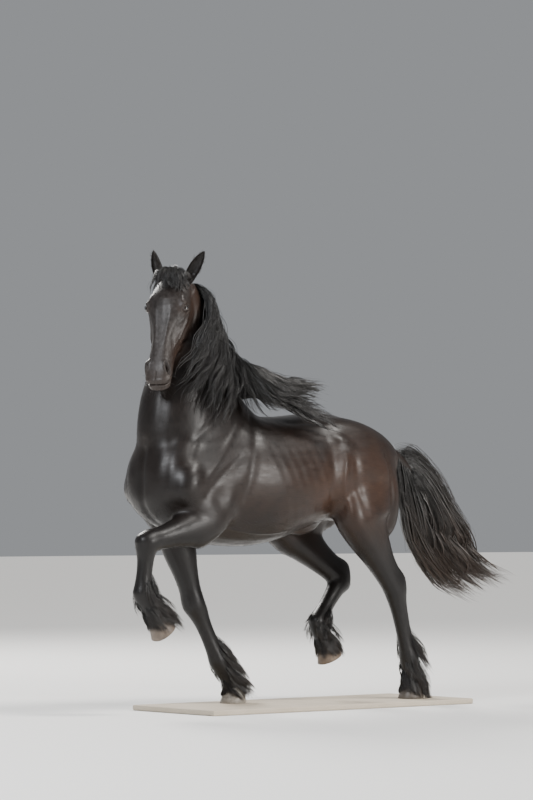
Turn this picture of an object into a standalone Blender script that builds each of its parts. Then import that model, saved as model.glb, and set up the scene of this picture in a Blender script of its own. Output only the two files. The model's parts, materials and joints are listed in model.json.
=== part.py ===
"""Life-size Friesian horse at the trot, a still model on a plain display base.

The body is lofted from ribs: each rib is a pair of outline points, a half width and a place
across the body. The lofts and muscles are fused by a voxel remesh, smoothed, reduced, and then
parted by thin cuts into the head, neck, torso, tail and the joints of each leg. Locks of long
hair are rooted in the node that they grow from. The horse faces -Y and its left side is +X.
"""

import math
import random

import bmesh
import bpy
import numpy as np
from mathutils import Matrix, Vector
from mathutils.bvhtree import BVHTree

# Driving dimensions, in metres. Places are (forward, left, up) from the middle of the base's top.
BASE_LENGTH = 1.86
BASE_WIDTH = 0.70
BASE_THICKNESS = 0.030
BASE_BEVEL = 0.008
GAP = 0.0003
VOXEL = 0.010
SMOOTHING_ROUNDS = 6
MUSCLE_MELT = 4
LEG_TOP = 0.88
HEAD_BOTTOM = 1.85
TRUNK_BLEND = 0.15
RING_SIDES = 28
BODY_TRIANGLES = 6600
HEAD_DETAIL = 0.48
LEG_DETAIL = 0.32
TRUNK_DETAIL = 0.12
LOCK_SPANS = 5
LOCK_CLEARANCE = 0.0025
LOCK_ROOT = 0.016
HAIR_SEED = 7

# The torso's ribs: forward, top, height of the widest place, bottom, half width.
TORSO_RIBS = (
    (-0.578, 1.300, 1.220, 1.130, 0.045),
    (-0.562, 1.365, 1.220, 1.050, 0.115),
    (-0.505, 1.430, 1.230, 1.000, 0.190),
    (-0.400, 1.492, 1.245, 0.985, 0.248),
    (-0.240, 1.560, 1.260, 0.985, 0.285),
    (-0.080, 1.590, 1.250, 0.985, 0.290),
    (0.080, 1.578, 1.220, 0.940, 0.288),
    (0.240, 1.562, 1.200, 0.885, 0.305),
    (0.400, 1.565, 1.190, 0.855, 0.312),
    (0.540, 1.610, 1.190, 0.850, 0.298),
    (0.680, 1.640, 1.190, 0.860, 0.275),
    (0.820, 1.620, 1.190, 0.885, 0.272),
    (0.940, 1.560, 1.190, 0.925, 0.268),
    (1.040, 1.480, 1.190, 0.975, 0.245),
    (1.105, 1.400, 1.180, 1.030, 0.190),
    (1.138, 1.290, 1.175, 1.090, 0.090),
)

# The neck's ribs: crest forward and up, throat forward and up, left, half width.
NECK_RIBS = (
    (0.300, 1.480, 0.980, 1.050, 0.000, 0.170),
    (0.400, 1.580, 1.090, 1.230, 0.000, 0.225),
    (0.500, 1.665, 1.130, 1.430, 0.000, 0.212),
    (0.590, 1.785, 1.115, 1.620, 0.003, 0.182),
    (0.660, 1.915, 1.062, 1.780, 0.016, 0.152),
    (0.722, 2.045, 0.995, 1.915, 0.040, 0.124),
    (0.795, 2.170, 0.960, 2.020, 0.066, 0.104),
    (0.875, 2.262, 0.985, 2.100, 0.083, 0.090),
)

# The head's ribs, down the face from the poll: distance, face, widest place, jaw, half width.
HEAD_RIBS = (
    (-0.014, -0.040, -0.070, -0.100, 0.034),
    (0.008, -0.008, -0.070, -0.140, 0.078),
    (0.060, 0.020, -0.060, -0.175, 0.098),
    (0.120, 0.038, -0.045, -0.215, 0.112),
    (0.175, 0.042, -0.035, -0.240, 0.118),
    (0.230, 0.036, -0.045, -0.250, 0.108),
    (0.290, 0.026, -0.065, -0.238, 0.092),
    (0.350, 0.018, -0.065, -0.195, 0.077),
    (0.410, 0.012, -0.058, -0.152, 0.067),
    (0.470, 0.008, -0.052, -0.130, 0.065),
    (0.530, 0.004, -0.050, -0.122, 0.072),
    (0.585, -0.008, -0.055, -0.120, 0.072),
    (0.625, -0.026, -0.062, -0.112, 0.060),
    (0.646, -0.048, -0.070, -0.095, 0.028),
)
POLL = (1.000, 0.082, 2.290)
HEAD_YAW_DEG = 29.0
HEAD_PITCH_DEG = 23.5

# Forms of the head, in its own frame: left, down the face, out of the face. Each is made on both sides.
HEAD_FORMS = (
    ("brow", (0.080, 0.125, 0.006), (0.096, 0.200, 0.000), 0.026, 0.026),
    ("orbit", (0.090, 0.160, -0.045), (0.092, 0.215, -0.045), 0.028, 0.030),
    ("face_crest", (0.086, 0.245, -0.060), (0.058, 0.400, -0.050), 0.014, 0.018),
    ("cheek", (0.072, 0.110, -0.140), (0.066, 0.265, -0.175), 0.036, 0.070),
    ("nostril_rim", (0.046, 0.500, -0.012), (0.060, 0.575, -0.034), 0.018, 0.026),
    ("upper_lip", (0.028, 0.590, -0.040), (0.030, 0.630, -0.060), 0.030, 0.026),
    ("chin", (0.008, 0.560, -0.122), (0.012, 0.610, -0.118), 0.030, 0.024),
)
EYE_PROBE = (0.150, 0.204, -0.010)
EYE_RADIUS = 0.0230
EYE_SUNK = 0.0150
EYE_TURN_DEG = 24.0
EYE_SLANT_DEG = 45.0
LID_THICKNESS = 0.0050
LID_OPENING = 0.0120
NOSTRIL_PROBE = (0.100, 0.540, 0.010)
NOSTRIL_SIZE = (0.014, 0.027, 0.014)
NOSTRIL_TURN_DEG = 25.0
MOUTH_FRONT = (0.0, 0.632, -0.076)
MOUTH_CORNER = (0.064, 0.548, -0.098)
MOUTH_GROOVE = 0.0035
EAR_BASE = (0.070, 0.016, -0.050)
EAR_TIPS = {"left": (0.166, -0.136, 0.004), "right": (-0.128, -0.146, 0.014)}
EAR_WIDTH = 0.038
EAR_WALL = 0.006

# The hoof, upright on its sole: the top is set back from the sole's middle.
HOOF_HALF_LENGTH = 0.074
HOOF_HALF_WIDTH = 0.068
HOOF_HEIGHT = 0.086
HOOF_SIDES = 16
HOOF_TOP_SHIFT = -0.016

# Joints of each leg, from the body down: forward, left, up. The last is the middle of the sole.
FORE_JOINTS = {
    "left": ((0.985, 0.180, 1.190), (0.835, 0.195, 0.985), (1.252, 0.190, 0.880), (1.268, 0.172, 0.610),
             (1.180, 0.165, 0.490), (1.112, 0.160, 0.405)),
    "right": ((0.970, -0.185, 1.150), (0.780, -0.195, 0.965), (0.655, -0.165, 0.540), (0.505, -0.142, 0.228),
              (0.405, -0.134, 0.086), (0.405, -0.134, 0.000)),
}
HIND_JOINTS = {
    "left": ((-0.270, 0.150, 1.270), (-0.160, 0.205, 0.985), (-0.505, 0.160, 0.610), (-0.630, 0.140, 0.222),
             (-0.650, 0.138, 0.086), (-0.650, 0.138, 0.000)),
    "right": ((-0.160, -0.150, 1.240), (0.060, -0.185, 0.940), (-0.350, -0.120, 0.668), (-0.135, -0.070, 0.432),
              (-0.195, -0.068, 0.300), (-0.232, -0.066, 0.225)),
}

# Leg ribs: bone, place along it, radius to the front, to the back, half width.
FORE_PROFILE = (
    (0, 0.00, 0.100, 0.120, 0.075), (0, 0.55, 0.110, 0.145, 0.086), (0, 0.95, 0.110, 0.140, 0.086),
    (1, 0.18, 0.106, 0.122, 0.084), (1, 0.38, 0.094, 0.100, 0.078), (1, 0.60, 0.073, 0.078, 0.067),
    (1, 0.80, 0.062, 0.066, 0.060), (1, 0.93, 0.068, 0.065, 0.064), (2, 0.03, 0.070, 0.066, 0.064),
    (2, 0.16, 0.056, 0.066, 0.054), (2, 0.34, 0.043, 0.057, 0.044), (2, 0.60, 0.040, 0.054, 0.041),
    (2, 0.84, 0.044, 0.060, 0.047), (2, 0.97, 0.052, 0.068, 0.054), (3, 0.20, 0.050, 0.060, 0.051),
    (3, 0.60, 0.045, 0.051, 0.047), (3, 0.98, 0.051, 0.050, 0.053), (4, 0.30, 0.050, 0.046, 0.051),
)
HIND_PROFILE = (
    (0, -0.20, 0.130, 0.200, 0.090), (0, 0.25, 0.170, 0.250, 0.112), (0, 0.65, 0.160, 0.265, 0.115),
    (0, 0.97, 0.105, 0.260, 0.104), (1, 0.18, 0.086, 0.228, 0.096), (1, 0.40, 0.074, 0.170, 0.082),
    (1, 0.62, 0.064, 0.122, 0.066), (1, 0.82, 0.060, 0.103, 0.057), (1, 0.96, 0.063, 0.106, 0.057),
    (2, 0.06, 0.061, 0.086, 0.056), (2, 0.18, 0.052, 0.068, 0.050), (2, 0.36, 0.044, 0.060, 0.044),
    (2, 0.62, 0.041, 0.056, 0.041), (2, 0.85, 0.045, 0.064, 0.047), (2, 0.97, 0.052, 0.071, 0.055),
    (3, 0.25, 0.049, 0.060, 0.051), (3, 0.62, 0.045, 0.051, 0.047), (3, 0.98, 0.051, 0.050, 0.053),
    (4, 0.30, 0.050, 0.046, 0.051),
)

# Muscles: name, ends (forward, left, up), radius outwards, radius across. Each is made on both sides.
MUSCLES = (
    ("scapula", (0.640, 0.130, 1.540), (0.930, 0.200, 1.180), 0.075, 0.120),
    ("triceps", (0.640, 0.170, 1.240), (0.800, 0.205, 1.020), 0.085, 0.125),
    ("breast", (1.040, 0.085, 1.330), (1.030, 0.095, 1.080), 0.110, 0.105),
    ("shoulder_point", (0.960, 0.205, 1.260), (1.010, 0.215, 1.120), 0.080, 0.095),
    ("croup", (0.020, 0.130, 1.460), (-0.480, 0.120, 1.330), 0.120, 0.150),
    ("hip", (0.000, 0.200, 1.430), (-0.120, 0.220, 1.330), 0.060, 0.080),
)
# Both ends of each buttock: the right one goes forward with its raised leg.
BUTTOCKS = (
    ((-0.400, 0.120, 1.370), (-0.440, 0.150, 0.960)),
    ((-0.400, -0.120, 1.370), (-0.270, -0.155, 1.000)),
)
BUTTOCK_RADII = (0.105, 0.115)
SHEATH_ENDS = ((0.120, 0.0, 0.955), (-0.060, 0.0, 0.985))
SHEATH_RADII = (0.055, 0.060)

# The dock, from the croup out: forward, up, radius.
DOCK = ((-0.460, 1.385, 0.055), (-0.560, 1.385, 0.048), (-0.660, 1.350, 0.040), (-0.750, 1.285, 0.030),
        (-0.810, 1.220, 0.014))

# Cuts that part the body: name, middle (forward, left, up), the way across the cut, half sizes of
# the cutter along its own two axes.
CUTS = (
    ("poll", (0.961, 0.082, 2.120), (0.84, 0.465, 0.28), 0.220, 0.330),
    ("neck_base", (0.790, 0.000, 1.470), (0.42, 0.0, 0.908), 0.400, 0.560),
    ("dock", (-0.605, 0.000, 1.372), (-0.94, 0.0, -0.33), 0.090, 0.075),
    ("fore_left", (1.094, 0.192, 0.920), (0.97, 0.0, -0.24), 0.105, 0.115),
    ("fore_right", (0.733, -0.186, 0.812), (-0.28, 0.0, -0.96), 0.115, 0.125),
    ("hind_left", (-0.360, 0.170, 0.870), (-0.20, 0.0, -0.98), 0.140, 0.300),
    ("hind_right", (-0.130, -0.155, 0.820), (-0.45, 0.0, -0.89), 0.100, 0.260),
)
CANNON_CUTS = {"fore": 0.13, "hind": 0.25}
CANNON_CUT_SIZE = 0.095
SMALLEST_PART = 10

# Guides of the mane from the crest to the tips, from the withers up to the poll.
MANE_GUIDES = (
    ((0.50, 0.00, 1.660), (0.44, 0.12, 1.655), (0.34, 0.21, 1.600), (0.20, 0.27, 1.530), (0.06, 0.29, 1.480),
     (-0.08, 0.29, 1.450)),
    ((0.53, 0.00, 1.690), (0.44, 0.05, 1.720), (0.32, 0.08, 1.680), (0.20, 0.10, 1.640), (0.07, 0.10, 1.625),
     (-0.05, 0.10, 1.610)),
    ((0.58, 0.00, 1.755), (0.50, 0.07, 1.790), (0.40, 0.12, 1.750), (0.28, 0.15, 1.710), (0.12, 0.14, 1.710),
     (-0.08, 0.12, 1.710)),
    ((0.65, 0.02, 1.880), (0.62, 0.08, 1.840), (0.56, 0.15, 1.740), (0.50, 0.21, 1.650), (0.42, 0.26, 1.590),
     (0.25, 0.27, 1.585)),
    ((0.72, 0.04, 2.030), (0.71, 0.11, 1.960), (0.70, 0.16, 1.830), (0.71, 0.21, 1.690), (0.75, 0.25, 1.550),
     (0.80, 0.28, 1.450)),
    ((0.80, 0.06, 2.180), (0.79, 0.13, 2.090), (0.80, 0.17, 1.940), (0.84, 0.20, 1.790), (0.91, 0.22, 1.650),
     (0.99, 0.23, 1.530)),
    ((0.87, 0.08, 2.260), (0.84, 0.16, 2.190), (0.86, 0.20, 2.050), (0.92, 0.21, 1.900), (1.02, 0.20, 1.760),
     (1.11, 0.16, 1.660)),
)
# Guides of the tail from the dock to the tips, from its lower edge to its upper edge.
TAIL_GUIDES = (
    ((-0.665, 0.0, 1.345), (-0.685, 0.0, 1.230), (-0.700, 0.0, 1.080), (-0.770, 0.0, 0.850), (-0.980, 0.0, 0.630),
     (-1.300, 0.0, 0.490)),
    ((-0.770, 0.0, 1.265), (-0.830, 0.0, 1.190), (-0.900, 0.0, 1.060), (-1.010, 0.0, 0.860), (-1.210, 0.0, 0.670),
     (-1.480, 0.0, 0.560)),
    ((-0.660, 0.0, 1.350), (-0.750, 0.0, 1.365), (-0.920, 0.0, 1.235), (-1.110, 0.0, 1.000), (-1.300, 0.0, 0.800),
     (-1.650, 0.0, 0.650)),
)
# Guides of the forelock in the head's frame, from the poll down the face.
FORELOCK_GUIDES = (
    ((-0.030, 0.020, 0.000), (-0.050, -0.005, 0.040), (-0.075, 0.030, 0.058), (-0.092, 0.080, 0.052),
     (-0.104, 0.140, 0.036)),
    ((0.000, 0.015, 0.000), (0.010, -0.010, 0.050), (0.020, 0.030, 0.065), (0.035, 0.080, 0.062),
     (0.060, 0.135, 0.054)),
    ((0.030, 0.020, 0.000), (0.050, -0.010, 0.035), (0.085, 0.015, 0.045), (0.112, 0.060, 0.030),
     (0.128, 0.120, -0.010)),
)
# Locks: count, width, thickness, waviness, spread to the sides, shortest share of the guide's length.
MANE_LOCKS = (17, 0.096, 0.020, 0.012, 0.010, 0.96)
TAIL_LOCKS = (12, 0.110, 0.036, 0.010, 0.066, 0.94)
FORELOCK_LOCKS = (3, 0.050, 0.012, 0.002, 0.000, 1.00)
# Feathers: count, width, thickness, length, how far they puff out, drift of the tips forward and up.
FEATHERS = {
    "fore_left": (7, 0.062, 0.018, 0.170, 0.035, (-0.55, 0.10)),
    "fore_right": (7, 0.062, 0.018, 0.170, 0.035, (-0.25, 0.05)),
    "hind_left": (7, 0.062, 0.018, 0.170, 0.035, (-0.45, 0.15)),
    "hind_right": (6, 0.048, 0.016, 0.120, 0.022, (-0.35, 0.00)),
}
FEATHER_SWING_DEG = 85.0
FEATHER_TOP = 0.50
FEATHER_BOTTOM = 1.02

COLOURS = {
    "coat": ((0.012, 0.010, 0.010), 0.38, 0.0),
    "hair": ((0.008, 0.008, 0.009), 0.45, 0.0),
    "hoof": ((0.060, 0.048, 0.040), 0.50, 0.0),
    "eye": ((0.020, 0.008, 0.004), 0.06, 0.0),
    "base": ((0.420, 0.350, 0.240), 0.80, 0.0),
}


def place(forward, left, up):
    """A point of the horse in the model's frame."""
    return Vector((left, -forward, up + BASE_THICKNESS))


def clear_scene():
    for obj in list(bpy.data.objects):
        bpy.data.objects.remove(obj)


def material(name):
    colour, roughness, metallic = COLOURS[name]
    made = bpy.data.materials.get(name) or bpy.data.materials.new(name)
    made.use_nodes = True
    shader = made.node_tree.nodes["Principled BSDF"]
    shader.inputs["Base Color"].default_value = (*colour, 1.0)
    shader.inputs["Roughness"].default_value = roughness
    shader.inputs["Metallic"].default_value = metallic
    return made


def object_of(name, mesh, finish="coat"):
    obj = bpy.data.objects.new(name, mesh)
    bpy.context.scene.collection.objects.link(obj)
    obj.data.materials.clear()
    obj.data.materials.append(material(finish))
    return obj


def applied(obj):
    """The object's mesh with its modifiers applied."""
    graph = bpy.context.evaluated_depsgraph_get()
    mesh = bpy.data.meshes.new_from_object(obj.evaluated_get(graph))
    obj.modifiers.clear()
    old = obj.data
    obj.data = mesh
    if old.users == 0:
        bpy.data.meshes.remove(old)
    return obj


def catmull(values, steps):
    """Points on a smooth curve through the rows of values, steps to a span."""
    rows = np.asarray(values, float)
    padded = np.vstack((2 * rows[0] - rows[1], rows, 2 * rows[-1] - rows[-2]))
    made = []
    for i in range(1, len(rows)):
        a, b, c, d = padded[i - 1:i + 3]
        for t in np.arange(steps) / steps:
            made.append(0.5 * (2 * b + (c - a) * t + (2 * a - 5 * b + 4 * c - d) * t**2
                               + (3 * b - 3 * c + d - a) * t**3))
    made.append(rows[-1])
    return np.array(made)


def skin_rings(bm, rings):
    """A closed skin over rings of points, each ring with the same number of points."""
    rows = [[bm.verts.new(p) for p in ring] for ring in rings]
    count = len(rows[0])
    for low, high in zip(rows, rows[1:]):
        for i in range(count):
            j = (i + 1) % count
            bm.faces.new((low[i], low[j], high[j], high[i]))
    bm.faces.new(rows[0][::-1])
    bm.faces.new(rows[-1])


def rib_ring(front, back, side, half_width, widest, fullness=2.0):
    """A ring through the outline points front and back, widest at that share of the way to the back.

    A fullness of 2 makes it an ellipse and more makes it squarer.
    """
    centre = front.lerp(back, widest)
    ring = []
    for i in range(RING_SIDES):
        turn = 2 * math.pi * i / RING_SIDES
        reach = (front if math.sin(turn) > 0 else back) - centre
        across = math.copysign(abs(math.cos(turn)) ** (2 / fullness), math.cos(turn))
        ring.append(centre + side * (half_width * across) + reach * abs(math.sin(turn)) ** (2 / fullness))
    return ring


def loft(bm, ribs, steps=4, fullness=2.0):
    """ribs: rows of front xyz, back xyz, side xyz, half width and widest share."""
    rings = []
    for row in catmull(ribs, steps):
        side = Vector(row[6:9]).normalized()
        rings.append(rib_ring(Vector(row[0:3]), Vector(row[3:6]), side, max(row[9], 0.002), row[10], fullness))
    skin_rings(bm, rings)


def torso_ribs():
    left = (1.0, 0.0, 0.0)
    return [(*place(f, 0, top), *place(f, 0, bottom), *left, half, (top - wide) / (top - bottom))
            for f, top, wide, bottom, half in TORSO_RIBS]


def neck_ribs():
    widest = 0.60
    return [(*place(cf, at_left, cu), *place(tf, at_left, tu), 1.0, 0.0, 0.0, half, widest)
            for cf, cu, tf, tu, at_left, half in NECK_RIBS]


def head_frame():
    """Head axes as a matrix: x to its left, y down the face from the poll, z out of the face."""
    yaw, pitch = math.radians(HEAD_YAW_DEG), math.radians(HEAD_PITCH_DEG)
    ahead = Vector((math.sin(yaw), -math.cos(yaw), 0.0))
    left = Vector((math.cos(yaw), math.sin(yaw), 0.0))
    down = ahead * math.sin(pitch) + Vector((0, 0, -math.cos(pitch)))
    out = ahead * math.cos(pitch) + Vector((0, 0, math.sin(pitch)))
    return Matrix.Translation(place(*POLL)) @ Matrix((left, down, out)).transposed().to_4x4()


def head_ribs():
    frame = head_frame()
    left = frame.to_3x3() @ Vector((1, 0, 0))
    rows = []
    for along, face, wide, jaw, half in HEAD_RIBS:
        front, back = frame @ Vector((0, along, face)), frame @ Vector((0, along, jaw))
        rows.append((*front, *back, *left, half, (face - wide) / (face - jaw)))
    return rows


def leg_centres(joints, profile):
    points = [place(*j) for j in joints]
    return [points[bone].lerp(points[bone + 1], along) for bone, along, *_ in profile]


def leg_ribs(joints, profile):
    """Ribs square to the leg's path, from a bone's own radii."""
    centres = leg_centres(joints, profile)
    side = Vector((1, 0, 0))
    rows = []
    for i, (centre, (_, _, fore, aft, half)) in enumerate(zip(centres, profile)):
        path = centres[min(i + 1, len(centres) - 1)] - centres[max(i - 1, 0)]
        forward = path.cross(side).normalized()
        rows.append((*(centre + forward * fore), *(centre - forward * aft), *side, half,
                     fore / (fore + aft)))
    return rows


def dock_ribs():
    rows = []
    for i, (f, u, radius) in enumerate(DOCK):
        before, after = DOCK[max(i - 1, 0)], DOCK[min(i + 1, len(DOCK) - 1)]
        path = (place(after[0], 0, after[1]) - place(before[0], 0, before[1])).normalized()
        up = Vector((1, 0, 0)).cross(path)
        centre = place(f, 0, u)
        rows.append((*(centre + up * radius), *(centre - up * radius), 1.0, 0.0, 0.0, radius, 0.5))
    return rows


def muscle(bm, start, end, outwards, across):
    """A stretched ball from start to end, flat across the body."""
    axis = end - start
    side = Vector((1, 0, 0))
    side = (side - axis * side.dot(axis) / axis.length_squared).normalized()
    third = axis.cross(side).normalized()
    turn = Matrix((side, third, axis.normalized())).transposed().to_4x4()
    size = Matrix.Diagonal((outwards, across, axis.length / 2 + across * 0.6, 1.0))
    bmesh.ops.create_icosphere(bm, subdivisions=3, radius=1.0,
                               matrix=Matrix.Translation((start + end) / 2) @ turn @ size)


def mirrored(point, hand):
    return Vector((point[0] * hand, point[1], point[2]))


def trunk_share(point):
    """1 on the torso and the neck's base, 0 on the head and the legs, blended between."""
    above_legs = (point.z - BASE_THICKNESS - LEG_TOP) / TRUNK_BLEND
    below_head = (HEAD_BOTTOM - point.z + BASE_THICKNESS) / TRUNK_BLEND
    return max(0.0, min(1.0, above_legs, below_head))


def body_mesh(voxel, rounds):
    """The whole horse without hooves, ears, eyes and hair, as one smooth closed mesh."""
    bm = bmesh.new()
    loft(bm, torso_ribs())
    loft(bm, neck_ribs())
    loft(bm, head_ribs(), fullness=2.5)
    for _, start, end, outwards, across in HEAD_FORMS:
        for hand in (1, -1):
            ends = [head_frame() @ mirrored(point, hand) for point in (start, end)]
            muscle(bm, *ends, outwards, across)
    loft(bm, dock_ribs())
    for joints in FORE_JOINTS.values():
        loft(bm, leg_ribs(joints, FORE_PROFILE))
    for joints in HIND_JOINTS.values():
        loft(bm, leg_ribs(joints, HIND_PROFILE))
    for _, start, end, outwards, across in MUSCLES:
        for hand in (1, -1):
            ends = [place(f, hand * at_left, u) for f, at_left, u in (start, end)]
            muscle(bm, *ends, outwards, across)
    for upper, lower in BUTTOCKS:
        muscle(bm, place(*upper), place(*lower), *BUTTOCK_RADII)
    muscle(bm, place(*SHEATH_ENDS[0]), place(*SHEATH_ENDS[1]), *SHEATH_RADII)
    bmesh.ops.recalc_face_normals(bm, faces=bm.faces)
    mesh = bpy.data.meshes.new("body")
    bm.to_mesh(mesh)
    bm.free()
    body = object_of("body", mesh)
    remesh = body.modifiers.new("Fuse", "REMESH")
    remesh.mode = "VOXEL"
    remesh.voxel_size = voxel
    applied(body)
    smooth = body.modifiers.new("Smooth", "SMOOTH")
    smooth.factor = 0.5
    smooth.iterations = rounds
    trunk = body.vertex_groups.new(name="trunk")
    for vertex in body.data.vertices:
        trunk.add([vertex.index], trunk_share(vertex.co), "REPLACE")
    melt = body.modifiers.new("Melt muscles", "SMOOTH")
    melt.factor = 0.5
    melt.iterations = rounds * MUSCLE_MELT
    melt.vertex_group = trunk.name
    return applied(body)


def union_all(name, pieces, finish, solver="MANIFOLD"):
    """One closed object fused from the pieces, which are removed."""
    base = object_of(name, pieces[0].data, finish)
    holder = bpy.data.collections.new("pieces")
    bpy.context.scene.collection.children.link(holder)
    for piece in pieces[1:]:
        holder.objects.link(piece)
    fuse = base.modifiers.new("Fuse", "BOOLEAN")
    fuse.operation = "UNION"
    fuse.operand_type = "COLLECTION"
    fuse.collection = holder
    fuse.solver = solver
    applied(base)
    for piece in pieces:
        bpy.data.objects.remove(piece)
    bpy.data.collections.remove(holder)
    return base


def cut_away(obj, cutter, solver="EXACT"):
    """Take the cutter out of the object and remove the cutter."""
    cutter.hide_render = True
    cutter.display_type = "WIRE"
    cut = obj.modifiers.new("Cut", "BOOLEAN")
    cut.operation = "DIFFERENCE"
    cut.object = cutter
    cut.solver = solver
    applied(obj)
    bpy.data.objects.remove(cutter)
    return obj


def islands(bm):
    """The closed surfaces of a mesh, each a set of its vertices."""
    left_over = set(bm.verts)
    found = []
    while left_over:
        edge = {left_over.pop()}
        island = set(edge)
        while edge:
            edge = {e.other_vert(v) for v in edge for e in v.link_edges} - island
            island |= edge
        left_over -= island
        found.append(island)
    return found


def copy_of_island(bm, island):
    """A mesh of one island of bm."""
    made = bmesh.new()
    twins = {v: made.verts.new(v.co) for v in bm.verts if v in island}
    for face in bm.faces:
        if face.verts[0] in island:
            made.faces.new([twins[v] for v in face.verts])
    mesh = bpy.data.meshes.new("island")
    made.to_mesh(mesh)
    made.free()
    return mesh


def keep_largest(obj):
    """Leave the object its largest closed surface alone."""
    bm = bmesh.new()
    bm.from_mesh(obj.data)
    largest = max(islands(bm), key=len)
    bmesh.ops.delete(bm, geom=[v for v in bm.verts if v not in largest], context="VERTS")
    bm.to_mesh(obj.data)
    bm.free()


def box_object(middle, across, half_width, half_height):
    """A thin box square to the way across, GAP thick, its width level and its height square to both."""
    across = across.normalized()
    width = Vector((0, 0, 1)).cross(across).normalized()
    height = across.cross(width)
    turn = Matrix((width, height, across)).transposed().to_4x4()
    size = Matrix.Diagonal((2 * half_width, 2 * half_height, GAP, 1.0))
    bm = bmesh.new()
    bmesh.ops.create_cube(bm, size=1.0, matrix=Matrix.Translation(middle) @ turn @ size)
    mesh = bpy.data.meshes.new("cutter")
    bm.to_mesh(mesh)
    bm.free()
    return object_of("cutter", mesh)


def along_bone(joints, bone, share):
    """A point on a bone, and the bone's direction."""
    top, bottom = place(*joints[bone]), place(*joints[bone + 1])
    return top.lerp(bottom, share), (bottom - top).normalized()


def legs():
    """Each leg's name, joints and the share of its cannon at which that is cut off."""
    made = []
    for end, table in (("fore", FORE_JOINTS), ("hind", HIND_JOINTS)):
        made += [(f"{end}_{hand}", joints, CANNON_CUTS[end]) for hand, joints in table.items()]
    return made


def surface_of(objects):
    """A tree for finding the nearest surface point of several objects."""
    points, faces = [], []
    for obj in objects:
        start = len(points)
        points += [v.co.copy() for v in obj.data.vertices]
        faces += [[start + i for i in f.vertices] for f in obj.data.polygons]
    return BVHTree.FromPolygons(points, faces)


def holds(obj, point):
    """Whether the closed object has the point inside it."""
    tree = surface_of([obj])
    way = Vector((0.13, 0.07, 1.0)).normalized()
    crossings = 0
    hit = tree.ray_cast(point, way)[0]
    while hit is not None:
        crossings += 1
        hit = tree.ray_cast(hit + way * 1e-5, way)[0]
    return crossings % 2 == 1


def part_body(body):
    """Cut the body along its joints and name each part after the seed point that it holds."""
    for _, middle, across, half_width, half_height in CUTS:
        cut_away(body, box_object(place(*middle), place(*across) - place(0, 0, 0), half_width, half_height))
    seeds = {"torso": place(0.2, 0, 1.25), "neck": place(0.85, 0.0, 1.75), "tail": place(-0.75, 0, 1.285)}
    seeds["head"] = head_frame() @ Vector((0, 0.35, -0.06))
    for name, joints, cannon_share in legs():
        middle, along = along_bone(joints, 2, cannon_share)
        cut_away(body, box_object(middle, along, CANNON_CUT_SIZE, CANNON_CUT_SIZE))
        seeds[f"{name}_upper"] = along_bone(joints, 1, 0.8)[0]
        seeds[f"{name}_cannon"] = along_bone(joints, 2, 0.5)[0]
    bm = bmesh.new()
    bm.from_mesh(body.data)
    large = [island for island in islands(bm) if len(island) > SMALLEST_PART]
    found = [object_of("piece", copy_of_island(bm, island)) for island in large]
    bm.free()
    bpy.data.objects.remove(body)
    parts = {}
    for name, seed in seeds.items():
        parts[name] = next(piece for piece in found if holds(piece, seed))
        parts[name].name = name
        found.remove(parts[name])
    for piece in found:
        bpy.data.objects.remove(piece)
    return parts


def reduced(body):
    """The body with fewer triangles, fewest on the trunk and most on the head."""
    group = body.vertex_groups.new(name="coarse")
    frame = head_frame().inverted()
    for vertex in body.data.vertices:
        across, down, out = frame @ vertex.co
        on_head = down > -0.02 and vertex.co.z > 1.66 and abs(across) < 0.14 and out > -0.20
        fine = HEAD_DETAIL if on_head else (LEG_DETAIL if vertex.co.z < LEG_TOP else TRUNK_DETAIL)
        group.add([vertex.index], 1.0 - fine, "REPLACE")
    few = body.modifiers.new("Fewer", "DECIMATE")
    few.ratio = BODY_TRIANGLES / (2 * len(body.data.polygons))
    few.vertex_group = group.name
    few.vertex_group_factor = 1.0
    return applied(body)


def sphere_object(middle, radius, finish, sizes=(1, 1, 1), turn=Matrix(), subdivisions=3):
    bm = bmesh.new()
    matrix = Matrix.Translation(middle) @ turn @ Matrix.Diagonal((*sizes, 1.0))
    bmesh.ops.create_icosphere(bm, subdivisions=subdivisions, radius=radius, matrix=matrix)
    bmesh.ops.recalc_face_normals(bm, faces=bm.faces)
    mesh = bpy.data.meshes.new("ball")
    bm.to_mesh(mesh)
    bm.free()
    return object_of("ball", mesh, finish)


def lid_object(frame, centre, hand, upper):
    """A lid: part of a shell round the eye, from its rim back into the head."""
    turn_out = frame.to_3x3() @ Matrix.Rotation(-hand * math.radians(EYE_TURN_DEG), 3, "Y")
    turn_out = turn_out @ Matrix.Rotation(math.radians(EYE_SLANT_DEG), 3, "X")
    rows = []
    sides = 12
    rim = math.asin(LID_OPENING / (EYE_RADIUS + LID_THICKNESS))
    for thickness in (2 * GAP, LID_THICKNESS):
        for lift in (rim, rim + 0.55, rim + 1.10):
            row = []
            for i in range(sides + 1):
                swing = math.radians(-82 + 164 * i / sides)
                height = lift if upper else -lift
                corner = 1.0 - (swing / math.radians(82)) ** 2
                reach = EYE_RADIUS + thickness * (0.3 + 0.7 * corner)
                height *= 0.25 + 0.75 * corner if abs(lift - rim) < 0.01 else 1.0
                row.append(Vector((math.cos(height) * math.cos(swing), math.cos(height) * math.sin(swing),
                                   math.sin(height))) * reach)
            rows.append(row)
    inner, outer = rows[:3], rows[3:]
    bm = bmesh.new()
    ring_rows = []
    for i in range(sides + 1):
        section = [inner[0][i], inner[1][i], inner[2][i], outer[2][i], outer[1][i], outer[0][i]]
        places = [centre + turn_out @ mirrored(p, hand) for p in section]
        ring_rows.append(places)
    skin_rings(bm, ring_rows)
    bmesh.ops.recalc_face_normals(bm, faces=bm.faces)
    mesh = bpy.data.meshes.new("lid")
    bm.to_mesh(mesh)
    bm.free()
    return object_of("lid", mesh)


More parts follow.
